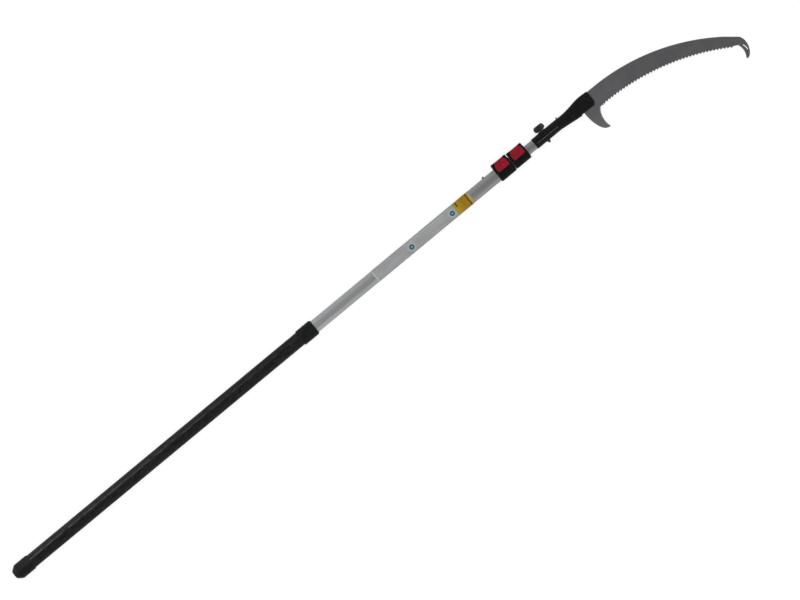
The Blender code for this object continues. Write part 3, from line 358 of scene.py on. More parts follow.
# satin polyester label: pale grey, with two plain rings, a pale start and seam, and the crinkle
# of a film on a tube
def makeSilverFilm():
    look = {
        "film": "#a3a4a5", "dim": "#979899", "pale": "#b2b3b3", "crinkle": 0.018,
        "startWidth": 0.0044,
        "seam": (0.0122, 0.0012),  # its place across the pole and half its width
        "seamEnds": (1.394, 1.531),
        "ringCentres": ((1.391, -0.002), (1.533, -0.002)),
        # radius and colour, from the outside in
        "rings": ((0.0124, "#a3abab"), (0.0074, "#2c5a66"), (0.0026, "#8ea3a7")),
        "soft": 0.0003,  # half the width of a printed edge
    }
    material, tree, spot = startMaterial("satinFilm", 0.0, 0.3)
    patch = grain(tree, spot, look["crinkle"], (2.5, 1, 1), 3.0)
    colour = paint(tree, look["dim"], look["film"], patch, 0.35, 0.65)
    x, y, front = poleSides(tree, spot)
    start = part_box("silver_label")[0].x + look["startWidth"]
    colour = paintUnder(tree, colour, look["pale"], x, start, 0.0004)
    middle = sum(look["seamEnds"]) / 2
    reach = {"operation": "LESS_THAN", 0: awayFrom(tree, x, middle), 1: look["seamEnds"][1] - middle}
    reach = addNode(tree, "Math", {"operation": "MULTIPLY", 0: addNode(tree, "Math", reach), 1: front})
    line, half = look["seam"]
    colour = paintUnder(tree, colour, look["pale"], awayFrom(tree, y, line), half, look["soft"], reach)
    flat = addNode(tree, "CombineXYZ", {"X": x, "Y": y})
    for centre in look["ringCentres"]:
        away = {"operation": "DISTANCE", 0: flat, 1: (*centre, 0.0)}
        away = addNode(tree, "VectorMath", away).outputs["Value"]
        for radius, ink in look["rings"]:
            colour = paintUnder(tree, colour, ink, away, radius, look["soft"], front)
    return finish(material, colour, patch, 0.0002, 0.4, (0.36, 0.5))


# printed vinyl band: yellow that runs to amber, a short plain bar, a thin dark line and a bare end
def makeYellowFilm():
    look = {
        "yellow": "#a79320", "amber": "#9b7710", "line": "#4a3306", "bare": "#ac986b", "scuffAndSheen": 0.006,
        "turn": (1.553, 1.572),
        "bar": ((1.5548, 0.0092), (0.0021, 0.0062)),  # its middle and half its size
        "lineAt": (1.5898, 0.0014),  # its place along the pole and half its width
        "bareFrom": 1.5942,
    }
    material, tree, spot = startMaterial("printedVinyl", 0.0, 0.16)
    x, y, front = poleSides(tree, spot)
    colour = paint(tree, look["yellow"], look["amber"], x, *look["turn"])
    (barX, barY), (halfX, halfY) = look["bar"]
    reach = {"Value": awayFrom(tree, y, barY), "From Min": halfY + 0.0008, "From Max": halfY - 0.0008}
    reach = addNode(tree, "MapRange", reach)
    reach = addNode(tree, "Math", {"operation": "MULTIPLY", 0: reach, 1: front})
    colour = paintUnder(tree, colour, look["line"], awayFrom(tree, x, barX), halfX, 0.0006, reach)
    line, half = look["lineAt"]
    colour = paintUnder(tree, colour, look["line"], awayFrom(tree, x, line), half, 0.0001)
    colour = paint(tree, colour, look["bare"], x, look["bareFrom"], look["bareFrom"] + 0.0002)
    scuffAndSheen = grain(tree, spot, look["scuffAndSheen"], detail=4.0)
    colour = vary(tree, colour, scuffAndSheen, 0.3, 0.7, 0.9, 1.06)
    return finish(material, colour, scuffAndSheen, 0.0001, 0.4, (0.34, 0.48))


# ground high-carbon steel, dark plated: fine grinding lines across the blade, brighter where an
# edge is ground. Real lines are 0.05 mm apart; these are 2.5 mm so that they show
def makeSawSteel():
    look = {
        "nearHolder": "#6c6b6e", "middle": "#666567", "sickleSteel": "#7a797a", "groundEdge": "#8f8f90",
        # where the sickle's paler steel starts and is full, in X and in Y
        "sickle": ((2.046, 2.030), (-0.035, -0.085)),
        "line": 0.0025,
        "lineTurn": 24.0,  # degrees
        "stain": 0.03,
    }
    material, tree, spot = startMaterial("groundSawSteel", 1.0, 0.5)
    split = addNode(tree, "SeparateXYZ", {0: spot}).outputs
    colour = paint(tree, look["nearHolder"], look["middle"], split["X"], 2.04, 2.22)
    (start, full), (high, low) = look["sickle"]
    behind = addNode(tree, "MapRange", {"Value": split["X"], "From Min": start, "From Max": full})
    colour = paint(tree, colour, look["sickleSteel"], split["Y"], high, low, behind)
    turned = {"Vector": spot, "Rotation": (0, 0, math.radians(look["lineTurn"]))}
    lines = grain(tree, addNode(tree, "Mapping", turned), look["line"], (1, 22, 1), 3.0)
    stain = grain(tree, spot, look["stain"], (1.6, 1, 1), 4.0)
    mixed = addNode(tree, "Math", {"operation": "MULTIPLY_ADD", 0: stain, 1: 0.8, 2: lines})
    colour = vary(tree, colour, mixed, 0.6, 1.2, 0.88, 1.1)
    ground = addNode(tree, "Attribute", {"attribute_name": "ground"}).outputs["Fac"]
    colour = paint(tree, colour, look["groundEdge"], ground, 0.0, 1.0)
    return finish(material, colour, lines, 0.00005, 0.5, (0.36, 0.5))


# plain, with patches of a second colour, a third on outward edges for rubbed wear, and on the red levers
# and the knob also a painted highlight, and a fine grain
def makeWorn(name, metallic, shine, colours, patches, edges, fine):
    material, tree, spot = startMaterial(name, metallic, shine)
    size, detail, start, full = patches
    colour = paint(tree, colours[0], colours[1], grain(tree, spot, size, detail=detail), start, full)
    size, full = edges
    colour = paint(tree, colour, colours[2], edgeWearAndHighlight(tree, spot, size), 0.0, full)
    size, depth, strength, roughness = fine
    return finish(material, colour, grain(tree, spot, size), depth, strength, roughness)


# the patches' size, detail, start and full, then the size and full of the edges' wear and painted
# highlight
moulded = ((0.009, 4.0, 0.42, 0.72), (0.004, 1.1))
plated = ((0.004, 3.0, 0.4, 0.65), (0.002, 1.0))
# the grain's size, depth, strength and roughness
scratched = (0.0006, 0.00003, 0.5, (0.28, 0.46))
wornFinishes = {
    # black powder coat on cast alloy: satin orange peel, a little dusty
    "black_coated_alloy": (
        ("powderCoatedAlloy", 0.0, 0.14, ("#080808", "#121212", "#3a3a3a")),
        (0.012, 5.0, 0.45, 0.75), (0.005, 1.2), (0.0016, 0.00012, 0.6, (0.38, 0.52)),
    ),
    # glass-filled nylon, moulded: satin, with spark-eroded grain
    "black_nylon": (
        ("blackMouldedNylon", 0.0, 0.1, ("#0b0a0a", "#171515", "#423e3e")),
        *moulded, (0.0008, 0.0001, 0.7, (0.42, 0.56)),
    ),
    # the locks' black nylon drawn lighter for the knob: painted light for its lit top and highlight
    "knob_nylon_painted_light": (
        ("knobMouldedNylon", 0.0, 0.16, ("#1d1c1c", "#454242", "#605c5c")),
        *moulded, (0.0009, 0.0001, 0.7, (0.46, 0.6)),
    ),
    # the third colour, on the lever's rounded rims, is partly rubbed wear and partly a painted highlight
    "red_nylon": (
        ("redMouldedNylon", 0.0, 0.05, ("#8a1524", "#952233", "#b8707a")),
        *moulded, (0.0006, 0.00004, 0.7, (0.3, 0.42)),
    ),
    "grey_nylon": (
        ("greyMouldedNylon", 0.0, 0.4, ("#84847e", "#979791", "#a3a39d")),
        *moulded, (0.0006, 0.00005, 0.7, (0.4, 0.52)),
    ),
    # zinc plated steel, in clouds of two tints with fine scratches
    "zinc_plated_steel": (
        ("zincPlatedSteel", 1.0, 0.5, ("#7b7e82", "#8b8980", "#a3a5a6")), *plated, scratched,
    ),
    # steel under oiled black oxide, cloudy and scratched the same way
    "blackened_steel": (
        ("blackenedSteel", 1.0, 0.5, ("#2c2c2d", "#3a3836", "#6a6865")), *plated, scratched,
    ),
}
finishes = {
    "black_rubber": makeRubber(),
    "anodised_aluminium": makeAluminium(),
    "silver_film": makeSilverFilm(),
    "yellow_film": makeYellowFilm(),
    "saw_steel": makeSawSteel(),
}
finishes |= {slot: makeWorn(*about, *look) for slot, (about, *look) in wornFinishes.items()}
sleeveVinyl = makeSleeveVinyl()
print("materials ready:", len(finishes) + 1)

slotOf = {part["node"]: part["material_slot"] for part in frame["record"]["subparts"]}
bodyOf = {node: body for body, nodes in frame["record"]["behaviour"]["bodies"].items() for node in nodes}


# smooth faces, with a crease where they meet at more than that many degrees
def shade(mesh, crease=32.0):
    mesh.shade_smooth()
    mesh.set_sharp_from_angle(angle=math.radians(crease))


def toObject(name, bm, crease=32.0):
    bmesh.ops.recalc_face_normals(bm, faces=bm.faces)
    mesh = bpy.data.meshes.new(name)
    bm.to_mesh(mesh)
    bm.free()
    shade(mesh, crease)
    return addObject(name, mesh)


# turns the object's modifiers into its plain mesh, without the slivers that they leave
def settle(obj):
    graph = bpy.context.evaluated_depsgraph_get()
    mesh = bpy.data.meshes.new_from_object(obj.evaluated_get(graph))
    obj.modifiers.clear()
    old = obj.data
    obj.data = mesh
    bpy.data.meshes.remove(old)
    bm = bmesh.new()
    bm.from_mesh(mesh)
    bmesh.ops.remove_doubles(bm, verts=bm.verts, dist=sliver)
    bmesh.ops.dissolve_degenerate(bm, edges=bm.edges, dist=sliver)
    bm.to_mesh(mesh)
    bm.free()
    shade(mesh)
    return obj


def remove(*objects):
    for obj in objects:
        bpy.data.objects.remove(obj, do_unlink=True)


def cutWith(obj, tools, operation="DIFFERENCE"):
    for tool in tools:
        modifier = obj.modifiers.new(tool.name, "BOOLEAN")
        modifier.operation = operation
        modifier.solver = "EXACT"
        modifier.object = tool
    settle(obj)
    remove(*tools)
    return obj


def softenEdges(obj, width, segments, angle):
    modifier = obj.modifiers.new("edges", "BEVEL")
    modifier.width = width
    modifier.segments = segments
    modifier.limit_method = "ANGLE"
    modifier.angle_limit = math.radians(angle)
    settle(obj)


def moved(obj, matrix):
    obj.data.transform(matrix)
    return obj


# fills hairline gaps, and takes out faces that lie back to back on the same corners
def closeMesh(mesh):
    bm = bmesh.new()
    bm.from_mesh(mesh)
    bmesh.ops.holes_fill(bm, edges=[edge for edge in bm.edges if edge.is_boundary], sides=0)
    bmesh.ops.triangulate(bm, faces=bm.faces)
    found = {}
    for face in bm.faces:
        found.setdefault(frozenset(vertex.index for vertex in face.verts), []).append(face)
    twins = [face for faces in found.values() if len(faces) == 2 for face in faces]
    bmesh.ops.delete(bm, geom=twins, context="FACES")
    bm.to_mesh(mesh)
    bm.free()


# the piece takes over from the nodes: their body, their slot and their finish
def finishPiece(obj, nodes, material=None):
    closeMesh(obj.data)
    slot = slotOf[nodes[0]]
    obj.data.materials.clear()
    obj.data.materials.append(material or finishes[slot])
    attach(obj, bodyOf[nodes[0]])
    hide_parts(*nodes)


# an oval across the X axis, more square as its power rises
def ovalRing(x, halfY, halfZ, power=2.0, count=96, centreY=0.0):
    points = []
    for index in range(count):
        angle = 2 * math.pi * index / count
        c = math.cos(angle)
        s = math.sin(angle)
        y = centreY + halfY * math.copysign(abs(c) ** (2 / power), c)
        points.append((x, y, halfZ * math.copysign(abs(s) ** (2 / power), s)))
    return points


# a ring across the X axis whose radius follows the angle
def polarRing(x, count, radiusAt):
    points = []
    for index in range(count):
        angle = 2 * math.pi * index / count
        points.append((x, radiusAt(angle) * math.cos(angle), radiusAt(angle) * math.sin(angle)))
    return points


# a solid through rings of points. A closed one runs back to its first ring
def loft(name, rings, closed=False):
    bm = bmesh.new()
    loops = [[bm.verts.new(point) for point in ring] for ring in rings]
    pairs = list(zip(loops, loops[1:]))
    if closed:
        pairs.append((loops[-1], loops[0]))
    else:
        bm.faces.new(loops[0])
        bm.faces.new(loops[-1])
    for first, second in pairs:
        for index in range(len(first)):
            after = (index + 1) % len(first)
            bm.faces.new((first[index], first[after], second[after], second[index]))
    return toObject(name, bm)


# turned on the X axis from (x, radius) pairs
def turnedPiece(name, profile, count=48, closed=False):
    return loft(name, [ovalRing(x, radius, radius, 2.0, count) for x, radius in profile], closed)


def plate(name, outline, low, high):
    return loft(name, [[(x, y, z) for x, y in outline] for z in (low, high)])


def block(name, low, high):
    outline = ((low[0], low[1]), (high[0], low[1]), (high[0], high[1]), (low[0], high[1]))
    return plate(name, outline, low[2], high[2])


# a drill, whose length only has to reach through
def hole(radius, length, at, turn):
    profile = ((-length / 2, radius), (length / 2, radius))
    return moved(turnedPiece("hole", profile, 32), Matrix.Translation(at) @ turn)


# Catmull-Rom through rows of numbers, each span in that many steps
def smoothRows(rows, steps):
    ends = [rows[0], *rows, rows[-1]]
    smooth = []
    for index in range(1, len(ends) - 2):
        for t in [step / steps for step in range(steps)]:
            row = []
            for a, b, c, d in zip(*ends[index - 1 : index + 3]):
                value = 2 * b + (c - a) * t + (2 * a - 5 * b + 4 * c - d) * t * t
                row.append((value + (3 * b - a - 3 * c + d) * t**3) / 2)
            smooth.append(tuple(row))
    return [*smooth, tuple(rows[-1])]


def startTree(name, sockets):
    tree = bpy.data.node_groups.new(name, "GeometryNodeTree")
    tree.interface.new_socket("Geometry", in_out="OUTPUT", socket_type="NodeSocketGeometry")
    for kind, labels in (sockets | {"Material": ("Material",)}).items():
        for label in labels:
            tree.interface.new_socket(label, in_out="INPUT", socket_type="NodeSocket" + kind)
    return tree, addNode(tree, "NodeGroupInput").outputs


def endTree(tree, geometry, material):
    real = addNode(tree, "GeometryNodeRealizeInstances", {0: geometry})
    coated = addNode(tree, "GeometryNodeSetMaterial", {"Geometry": real, "Material": material})
    addNode(tree, "NodeGroupOutput", {0: coated})
    return tree


# the tree's result as a plain mesh
def grow(name, tree, values):
    obj = addObject(name, bpy.data.meshes.new(name))
    modifier = obj.modifiers.new(tree.name, "NODES")
    modifier.node_group = tree
    for item in tree.interface.items_tree:
        if item.in_out == "INPUT":
            modifier[item.identifier] = values[item.name]
    return settle(obj)


# an oval tube drawn along X
def makeTubeTree():
    lengths = ("Half Width", "Half Height", "Wall", "Start", "Length")
    tree, given = startTree("drawnTube", {"Float": lengths, "Int": ("Sides",)})
    section = []
    for inside in (0, 1):
        scale = {"Z": 1.0}
        for axis, name in (("X", "Half Width"), ("Y", "Half Height")):
            less = {"operation": "MULTIPLY_ADD", 0: given["Wall"], 1: -float(inside), 2: given[name]}
            scale[axis] = addNode(tree, "Math", less)
        circle = {"Radius": 1.0, "Resolution": given["Sides"]}
        circle = addNode(tree, "GeometryNodeCurvePrimitiveCircle", circle)
        ring = {0: circle, "Scale": addNode(tree, "CombineXYZ", scale)}
        section.append(addNode(tree, "GeometryNodeTransform", ring))
    joined = addNode(tree, "GeometryNodeJoinGeometry", {0: section})
    face = addNode(tree, "GeometryNodeFillCurve", {0: joined})
    pulled = {"Mesh": face, "Offset": addNode(tree, "CombineXYZ", {"Z": given["Length"]})}
    pulled |= {"Offset Scale": 1.0, "Individual": False}
    pulled = addNode(tree, "GeometryNodeExtrudeMesh", pulled)
    back = addNode(tree, "GeometryNodeFlipFaces", {0: face})
    whole = addNode(tree, "GeometryNodeJoinGeometry", {0: [pulled, back]})
    lying = {0: addNode(tree, "GeometryNodeMergeByDistance", {0: whole, "Distance": 0.000001})}
    lying["Translation"] = addNode(tree, "CombineXYZ", {"X": given["Start"]})
    lying["Rotation"] = (math.pi / 2, 0, math.pi / 2)
    return endTree(tree, addNode(tree, "GeometryNodeTransform", lying), given["Material"])


# copies of one screw on a line, each turned a little differently about its own axis
def makeScrewTree():
    sizes = {"Object": ("Screw",), "Vector": ("First", "Step"), "Int": ("Count", "Seed")}
    tree, given = startTree("screwRow", sizes | {"Rotation": ("Axis",)})
    line = {"Count": given["Count"], "Start Location": given["First"], "Offset": given["Step"]}
    row = {"Points": addNode(tree, "GeometryNodeMeshLine", line), "Rotation": given["Axis"]}
    screw = addNode(tree, "GeometryNodeObjectInfo", {"Object": given["Screw"]})
    row["Instance"] = screw.outputs["Geometry"]
    row = addNode(tree, "GeometryNodeInstanceOnPoints", row)
    turn = {"data_type": "FLOAT", 2: -1.2, 3: 1.2, "Seed": given["Seed"]}  # radians
    spin = {"X": addNode(tree, "FunctionNodeRandomValue", turn).outputs[1]}
    row = {0: row, "Rotation": addNode(tree, "CombineXYZ", spin), "Local Space": True}
    return endTree(tree, addNode(tree, "GeometryNodeRotateInstances", row), given["Material"])


# saw teeth round an arc, set to the left and the right by turns
def makeToothTree():
    sizes = {"Object": ("Right Tooth", "Left Tooth"), "Vector": ("Centre",), "Int": ("Count",)}
    tree, given = startTree("toothRow", sizes | {"Float": ("Radius", "First Angle", "Pitch Angle")})
    number = addNode(tree, "GeometryNodeInputIndex")
    angle = {0: number, 1: given["Pitch Angle"], 2: given["First Angle"]}
    angle = addNode(tree, "Math", {"operation": "MULTIPLY_ADD"} | angle)
    spoke = {"X": addNode(tree, "Math", {"operation": "SINE", 0: angle})}
    spoke["Y"] = addNode(tree, "Math", {"operation": "COSINE", 0: angle})
    spoke = {"operation": "SCALE", 0: addNode(tree, "CombineXYZ", spoke), "Scale": given["Radius"]}
    spot = {"operation": "ADD", 0: addNode(tree, "VectorMath", spoke), 1: given["Centre"]}
    dots = {0: addNode(tree, "GeometryNodeMeshLine", {"Count": given["Count"]})}
    dots["Position"] = addNode(tree, "VectorMath", spot)
    dots = addNode(tree, "GeometryNodeSetPosition", dots)
    pair = []
    for name in ("Left Tooth", "Right Tooth"):
        tooth = addNode(tree, "GeometryNodeObjectInfo", {"As Instance": True, "Object": given[name]})
        pair.append(tooth.outputs["Geometry"])
    back = addNode(tree, "Math", {"operation": "MULTIPLY", 0: angle, 1: -1.0})
    side = addNode(tree, "Math", {"operation": "MODULO", 0: number, 1: 2.0})
    row = {"Points": dots, "Instance": addNode(tree, "GeometryNodeJoinGeometry", {0: pair})}
    row |= {"Pick Instance": True, "Instance Index": side}
    row["Rotation"] = addNode(tree, "CombineXYZ", {"Z": back})
    return endTree(tree, addNode(tree, "GeometryNodeInstanceOnPoints", row), given["Material"])


tubeTree = makeTubeTree()
screwTree = makeScrewTree()
toothTree = makeToothTree()
print("node trees ready")


tubes = {
    "sides": 96,
    # wall thickness of the tubes, the films and the sleeve
    "walls": {
        "outer_tube": 0.0011, "middle_tube": 0.0011, "inner_tube": 0.0011,
        "silver_label": 0.0002, "yellow_band": 0.0002, "grip_sleeve": 0.00135,
    },
    "notchBack": 0.0234,  # from a tube's upper end to the back of the brake shoe's notch
    "notchHalf": 0.0066,
    "stopBack": 0.0704, "stopHole": 0.0021,
    "clampAt": 1.8595, "clampHole": 0.0028,
    "screwAt": 1.9127, "screwHole": 0.002,
}


def tubeHoles(node, end, side):
    if node == "inner_tube":
        clamp = hole(tubes["clampHole"], 0.08, (tubes["clampAt"], 0, 0), alongY)
        return [clamp, hole(tubes["screwHole"], 0.012, (tubes["screwAt"], side, 0), alongY)]
    half = tubes["notchHalf"]
    notch = block("notch", (end - tubes["notchBack"], side / 2, -half), (end + 0.02, side * 2, half))
    return [notch, hole(tubes["stopHole"], 0.012, (end - tubes["stopBack"], side, 0), alongY)]


def makeTubes():
    for node, wall in tubes["walls"].items():
        low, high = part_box(node)
        material = sleeveVinyl if node == "grip_sleeve" else finishes[slotOf[node]]
        values = {"Half Width": high.y, "Half Height": high.z, "Wall": wall, "Start": low.x}
        values |= {"Length": high.x - low.x, "Sides": tubes["sides"], "Material": material}
        tube = grow(node + "Drawn", tubeTree, values)
        if slotOf[node] == "anodised_aluminium":
            cutWith(tube, tubeHoles(node, high.x, high.y))
        finishPiece(tube, [node], material)


rubberShape = {
    "bore": (0.01865, 0.0148),
    "nose": 0.0098,
    "floor": 0.014,
    # distance from an end, share of the way from the nose out or from full width in, squareness
    "capFront": (
        (0.0, 0.0, 2.2), (0.00025, 0.07, 2.2), (0.001, 0.16, 2.2), (0.0085, 0.63, 2.5),
        (0.0125, 0.85, 2.7), (0.0144, 0.935, 2.8), (0.0158, 0.978, 2.9), (0.0172, 1.0, 3.0),
    ),
    "capTail": (
        (0.0545, 0.0, 3.0), (0.0557, 0.05, 2.9), (0.0567, 0.16, 2.8), (0.0576, 0.34, 2.7),
        (0.0584, 0.52, 2.5), (0.0588, 0.60, 2.4), (0.059, 0.68, 2.4),
    ),
    "collarBack": (
        (0.0, 0.45, 2.6), (0.0002, 0.34, 2.6), (0.0008, 0.16, 2.8),
        (0.0016, 0.04, 2.9), (0.0024, 0.0, 3.0),
    ),
    "collarFront": (
        (0.0047, 0.0, 3.0), (0.0044, 0.012, 3.0), (0.0040, 0.05, 2.95),
        (0.0004, 0.62, 2.6), (0.0001, 0.68, 2.55), (0.0, 0.73, 2.5),
    ),
}


# rings whose size goes from one pair of half sizes to another, measured from an end
def rubberRings(rows, first, second, end=0.0, way=1):
    rows = rubberShape[rows]
    return [ovalRing(end + way * x, *first.lerp(second, share), power) for x, share, power in rows]


def makeCap():
    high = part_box("butt_cap")[1]
    full = Vector((high.y, high.z))
    nose = Vector((rubberShape["nose"], rubberShape["nose"] * high.z / high.y))
    bore = Vector(rubberShape["bore"])
    rings = rubberRings("capFront", nose, full) + rubberRings("capTail", full, bore)
    rings += [ovalRing(high.x, *bore), ovalRing(rubberShape["floor"], *bore)]
    finishPiece(loft("buttCapMoulded", rings), ["butt_cap"])


def makeCollar():
    low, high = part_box("grip_collar")
    full = Vector((high.y, high.z))
    bore = Vector(rubberShape["bore"])
    rings = rubberRings("collarBack", full, bore, low.x)
    rings += rubberRings("collarFront", full, bore, high.x, -1)
    rings += [ovalRing(high.x, *bore), ovalRing(low.x, *bore)]
    finishPiece(loft("gripCollarMoulded", rings, closed=True), ["grip_collar"])


makeTubes()
makeCap()
makeCollar()
print("pole ready")


screwShape = {
    "recess": 0.55,  # arm of the cross over the head's radius
    "slot": 0.11,  # half width of an arm, the same way
    "depth": 0.5,  # over the head's height
    "draft": 0.55,  # the recess's floor over its mouth
    "domed": (
        # node, piece, radius and the surface that it sits on
        ("lower_stop_screw", "stopScrewDomed", 0.0018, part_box("outer_tube")[1].y),
        ("holder_screw", "holderScrewDomed", 0.0017, 0.01575),  # the socket's half width
    ),
}


# a cross recess pressed in from +X at top
def crossTools(headRadius, headHeight, top):
    arm = headRadius * screwShape["recess"]
    half = headRadius * screwShape["slot"]
    low = top - headHeight * screwShape["depth"]
    tools = []
    for wide, tall in ((arm, half), (half, arm)):
        rings = []
        for x, share in ((low, screwShape["draft"]), (top + headHeight, 1.0)):
            y, z = wide * share, tall * share
            rings.append([(x, -y, -z), (x, y, -z), (x, y, z), (x, -y, z)])
        tools.append(loft("recess", rings))
    return tools


# screws with domed heads, made along +X with the head's seat at 0
def makeDomedScrews():
    for node, name, radius, seat in screwShape["domed"]:
        low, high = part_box(node)
        tip = low.y - seat
        head = (high.x - low.x) / 2
        height = high.y - seat - gap
        profile = [(tip, radius * 0.8), (tip + radius * 0.2, radius), (gap, radius), (gap, head * 0.97)]
        profile.append((gap + height * 0.08, head))
        for step in range(9):
            angle = math.pi / 2 * step / 9
            x = gap + height * (0.35 + 0.65 * math.sin(angle))
            profile.append((x, head * math.cos(angle) ** 0.7))
        screw = cutWith(turnedPiece(name, profile, 40), crossTools(head, height, gap + height))
        at = ((low.x + high.x) / 2, seat, 0)
        finishPiece(moved(screw, Matrix.Translation(at) @ alongY), [node])


makeDomedScrews()
print("screws ready")


lockShape = {
    "hubBack": 0.0118,  # knuckle behind the lever's hub
    "hub": 0.027,
    "knuckle": 0.0062,
    "endRound": 0.0011,
    "cornerRound": 0.0014,
    "squareness": 3.4,
    "hair": 1e-7,  # the least that an end ring is drawn in
    "rimHeight": 0.0011, "rimInset": 0.0016,
    "tubeSeat": 0.0346,
    "bushWall": 0.0015,
    "lip": 0.0015,
    "shoeHalf": 0.006,
    "cam": 0.0052, "camOffset": 0.0005,
    "pin": 0.002,
    "screw": 0.0018, "screwHead": 0.0034, "screwSink": 0.0005, "screwPlaces": (0.006, 0.028),
    "edge": 0.0004,
}
lockSides = {
    "lower": {"fixed": (0.01835, 0.0145), "sliding": (0.016175, 0.012325)},
    "upper": {"fixed": (0.016175, 0.012325), "sliding": (0.0140, 0.01015)},
}


# an oval underside, sides that lean in round the pin, and a flat top with rounded corners
def lockOutline(bottom, top, halfZ):
    points = []
    steps = 40
    power = 2 / lockShape["squareness"]
    for index in range(steps + 1):
        angle = math.pi * index / steps
        c = math.cos(angle)
        y = bottom * abs(math.sin(angle)) ** power
        points.append((y, halfZ * math.copysign(abs(c) ** power, c)))
    pinY = top - lockShape["knuckle"]
    lean = math.asin(lockShape["knuckle"] / halfZ)
    for side in (-1, 1):
        angles = [lean * index / 6 for index in range(7)]
        arc = [(pinY + halfZ * math.sin(angle), side * halfZ * math.cos(angle)) for angle in angles]
        before, last = Vector(arc[-2]), Vector(arc[-1])
        inner = last + Vector((0, -side * lockShape["cornerRound"]))
        bend = [before.lerp(last, 0.4), before.lerp(last, 0.9).lerp(inner, 0.2), inner]
        corner = arc[:-1] + [tuple(point) for point in bend]
        points += corner if side < 0 else corner[::-1]
    return points


# the outline drawn in by that amount
def shrink(points, amount):
    inside = []
    for index, (y, z) in enumerate(points):
        along = Vector(points[(index + 1) % len(points)]) - Vector(points[index - 1])
        along.normalize()
        inside.append((y - along.y * amount, z + along.x * amount))
    return inside


# the hole and the countersink of a lock's fixing screw
def lockScrewTool(seat, wall):
    face = lockShape["screwSink"] - wall
    head = lockShape["screwHead"]
    thin = lockShape["screw"]
    neck = (face + head - thin + gap, thin + gap)
    profile = ((-wall * 2, head + gap), (face, head + gap), neck, (wall, thin + gap))
    return moved(turnedPiece("screwHole", profile, 32), Matrix.Translation(seat) @ alongY)


# where the lever's pin lies, along the pole and off its axis
def pinPlace(low, high):
    along = low.x + lockShape["rimHeight"] + lockShape["hubBack"] + lockShape["hub"] / 2
    return along, high.y - lockShape["knuckle"]


def makeLockBody(prefix):
    node = f"{prefix}_lock_body"
    low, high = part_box(node)
    start = low.x + lockShape["rimHeight"]
    end = high.x - lockShape["rimHeight"]
    fixed = lockSides[prefix]["fixed"]
    sliding = lockSides[prefix]["sliding"]
    outline = lockOutline(low.y, high.y, high.z)
    edge = lockShape["endRound"]
    rings = []
    for along, less in ((0.0, 1.0), (0.12, 0.62), (0.34, 0.3), (0.64, 0.08), (1.0, 0.0)):
        inside = shrink(outline, edge * less + lockShape["hair"])
        rings.append([(start + edge * along, y, z) for y, z in inside])
    rings += [[(start + end - x, y, z) for x, y, z in ring] for ring in rings[::-1]]
    body = loft(prefix + "LockBodyMoulded", rings)
    rim = [half - lockShape["rimInset"] for half in (-low.y, high.z)]
    cutWith(body, [loft("rims", [ovalRing(low.x, *rim), ovalRing(high.x, *rim)])], "UNION")
    bore = [half + gap for half in fixed]
    seat = [half + lockShape["bushWall"] + 2 * gap for half in sliding]
    mouth = [half + 2 * gap for half in sliding]
    step = start + lockShape["tubeSeat"] + gap
    lip = end - lockShape["lip"]
    steps = [(start - 0.01, bore), (step, bore), (step, seat)]
    steps += [(lip, seat), (lip, mouth), (end + 0.01, mouth)]
    pinX, pinY = pinPlace(low, high)
    half = lockShape["hub"] / 2 + gap
    floor = pinY - lockShape["cam"] - lockShape["camOffset"] - 2 * gap
    shoe = lockShape["shoeHalf"] + gap
    tools = [
        loft("bore", [ovalRing(x, *size) for x, size in steps]),
        block("slot", (pinX - half, floor, -high.z * 2), (pinX + half, high.y * 2, high.z * 2)),
        block("window", (pinX - half, sliding[0] / 2, -shoe), (pinX + half, high.y, shoe)),
        hole(lockShape["pin"] + gap, (end - start) * 2, ((start + end) / 2, pinY, 0), Matrix()),
    ]
    wall = -low.y - fixed[0]
    tools += [lockScrewTool((start + along, -fixed[0], 0), wall) for along in lockShape["screwPlaces"]]
    cutWith(body, tools)
    softenEdges(body, lockShape["edge"], 2, 50.0)
    finishPiece(body, [node])


leverShape = {
    "width": 0.0374, "thickness": 0.0042, "edge": 0.0008,
    "reach": 0.0232, "tail": 0.0036,  # from the pin down the front, and behind it
    "gap": 0.0004,  # between the lever's plate and the lock's front
}


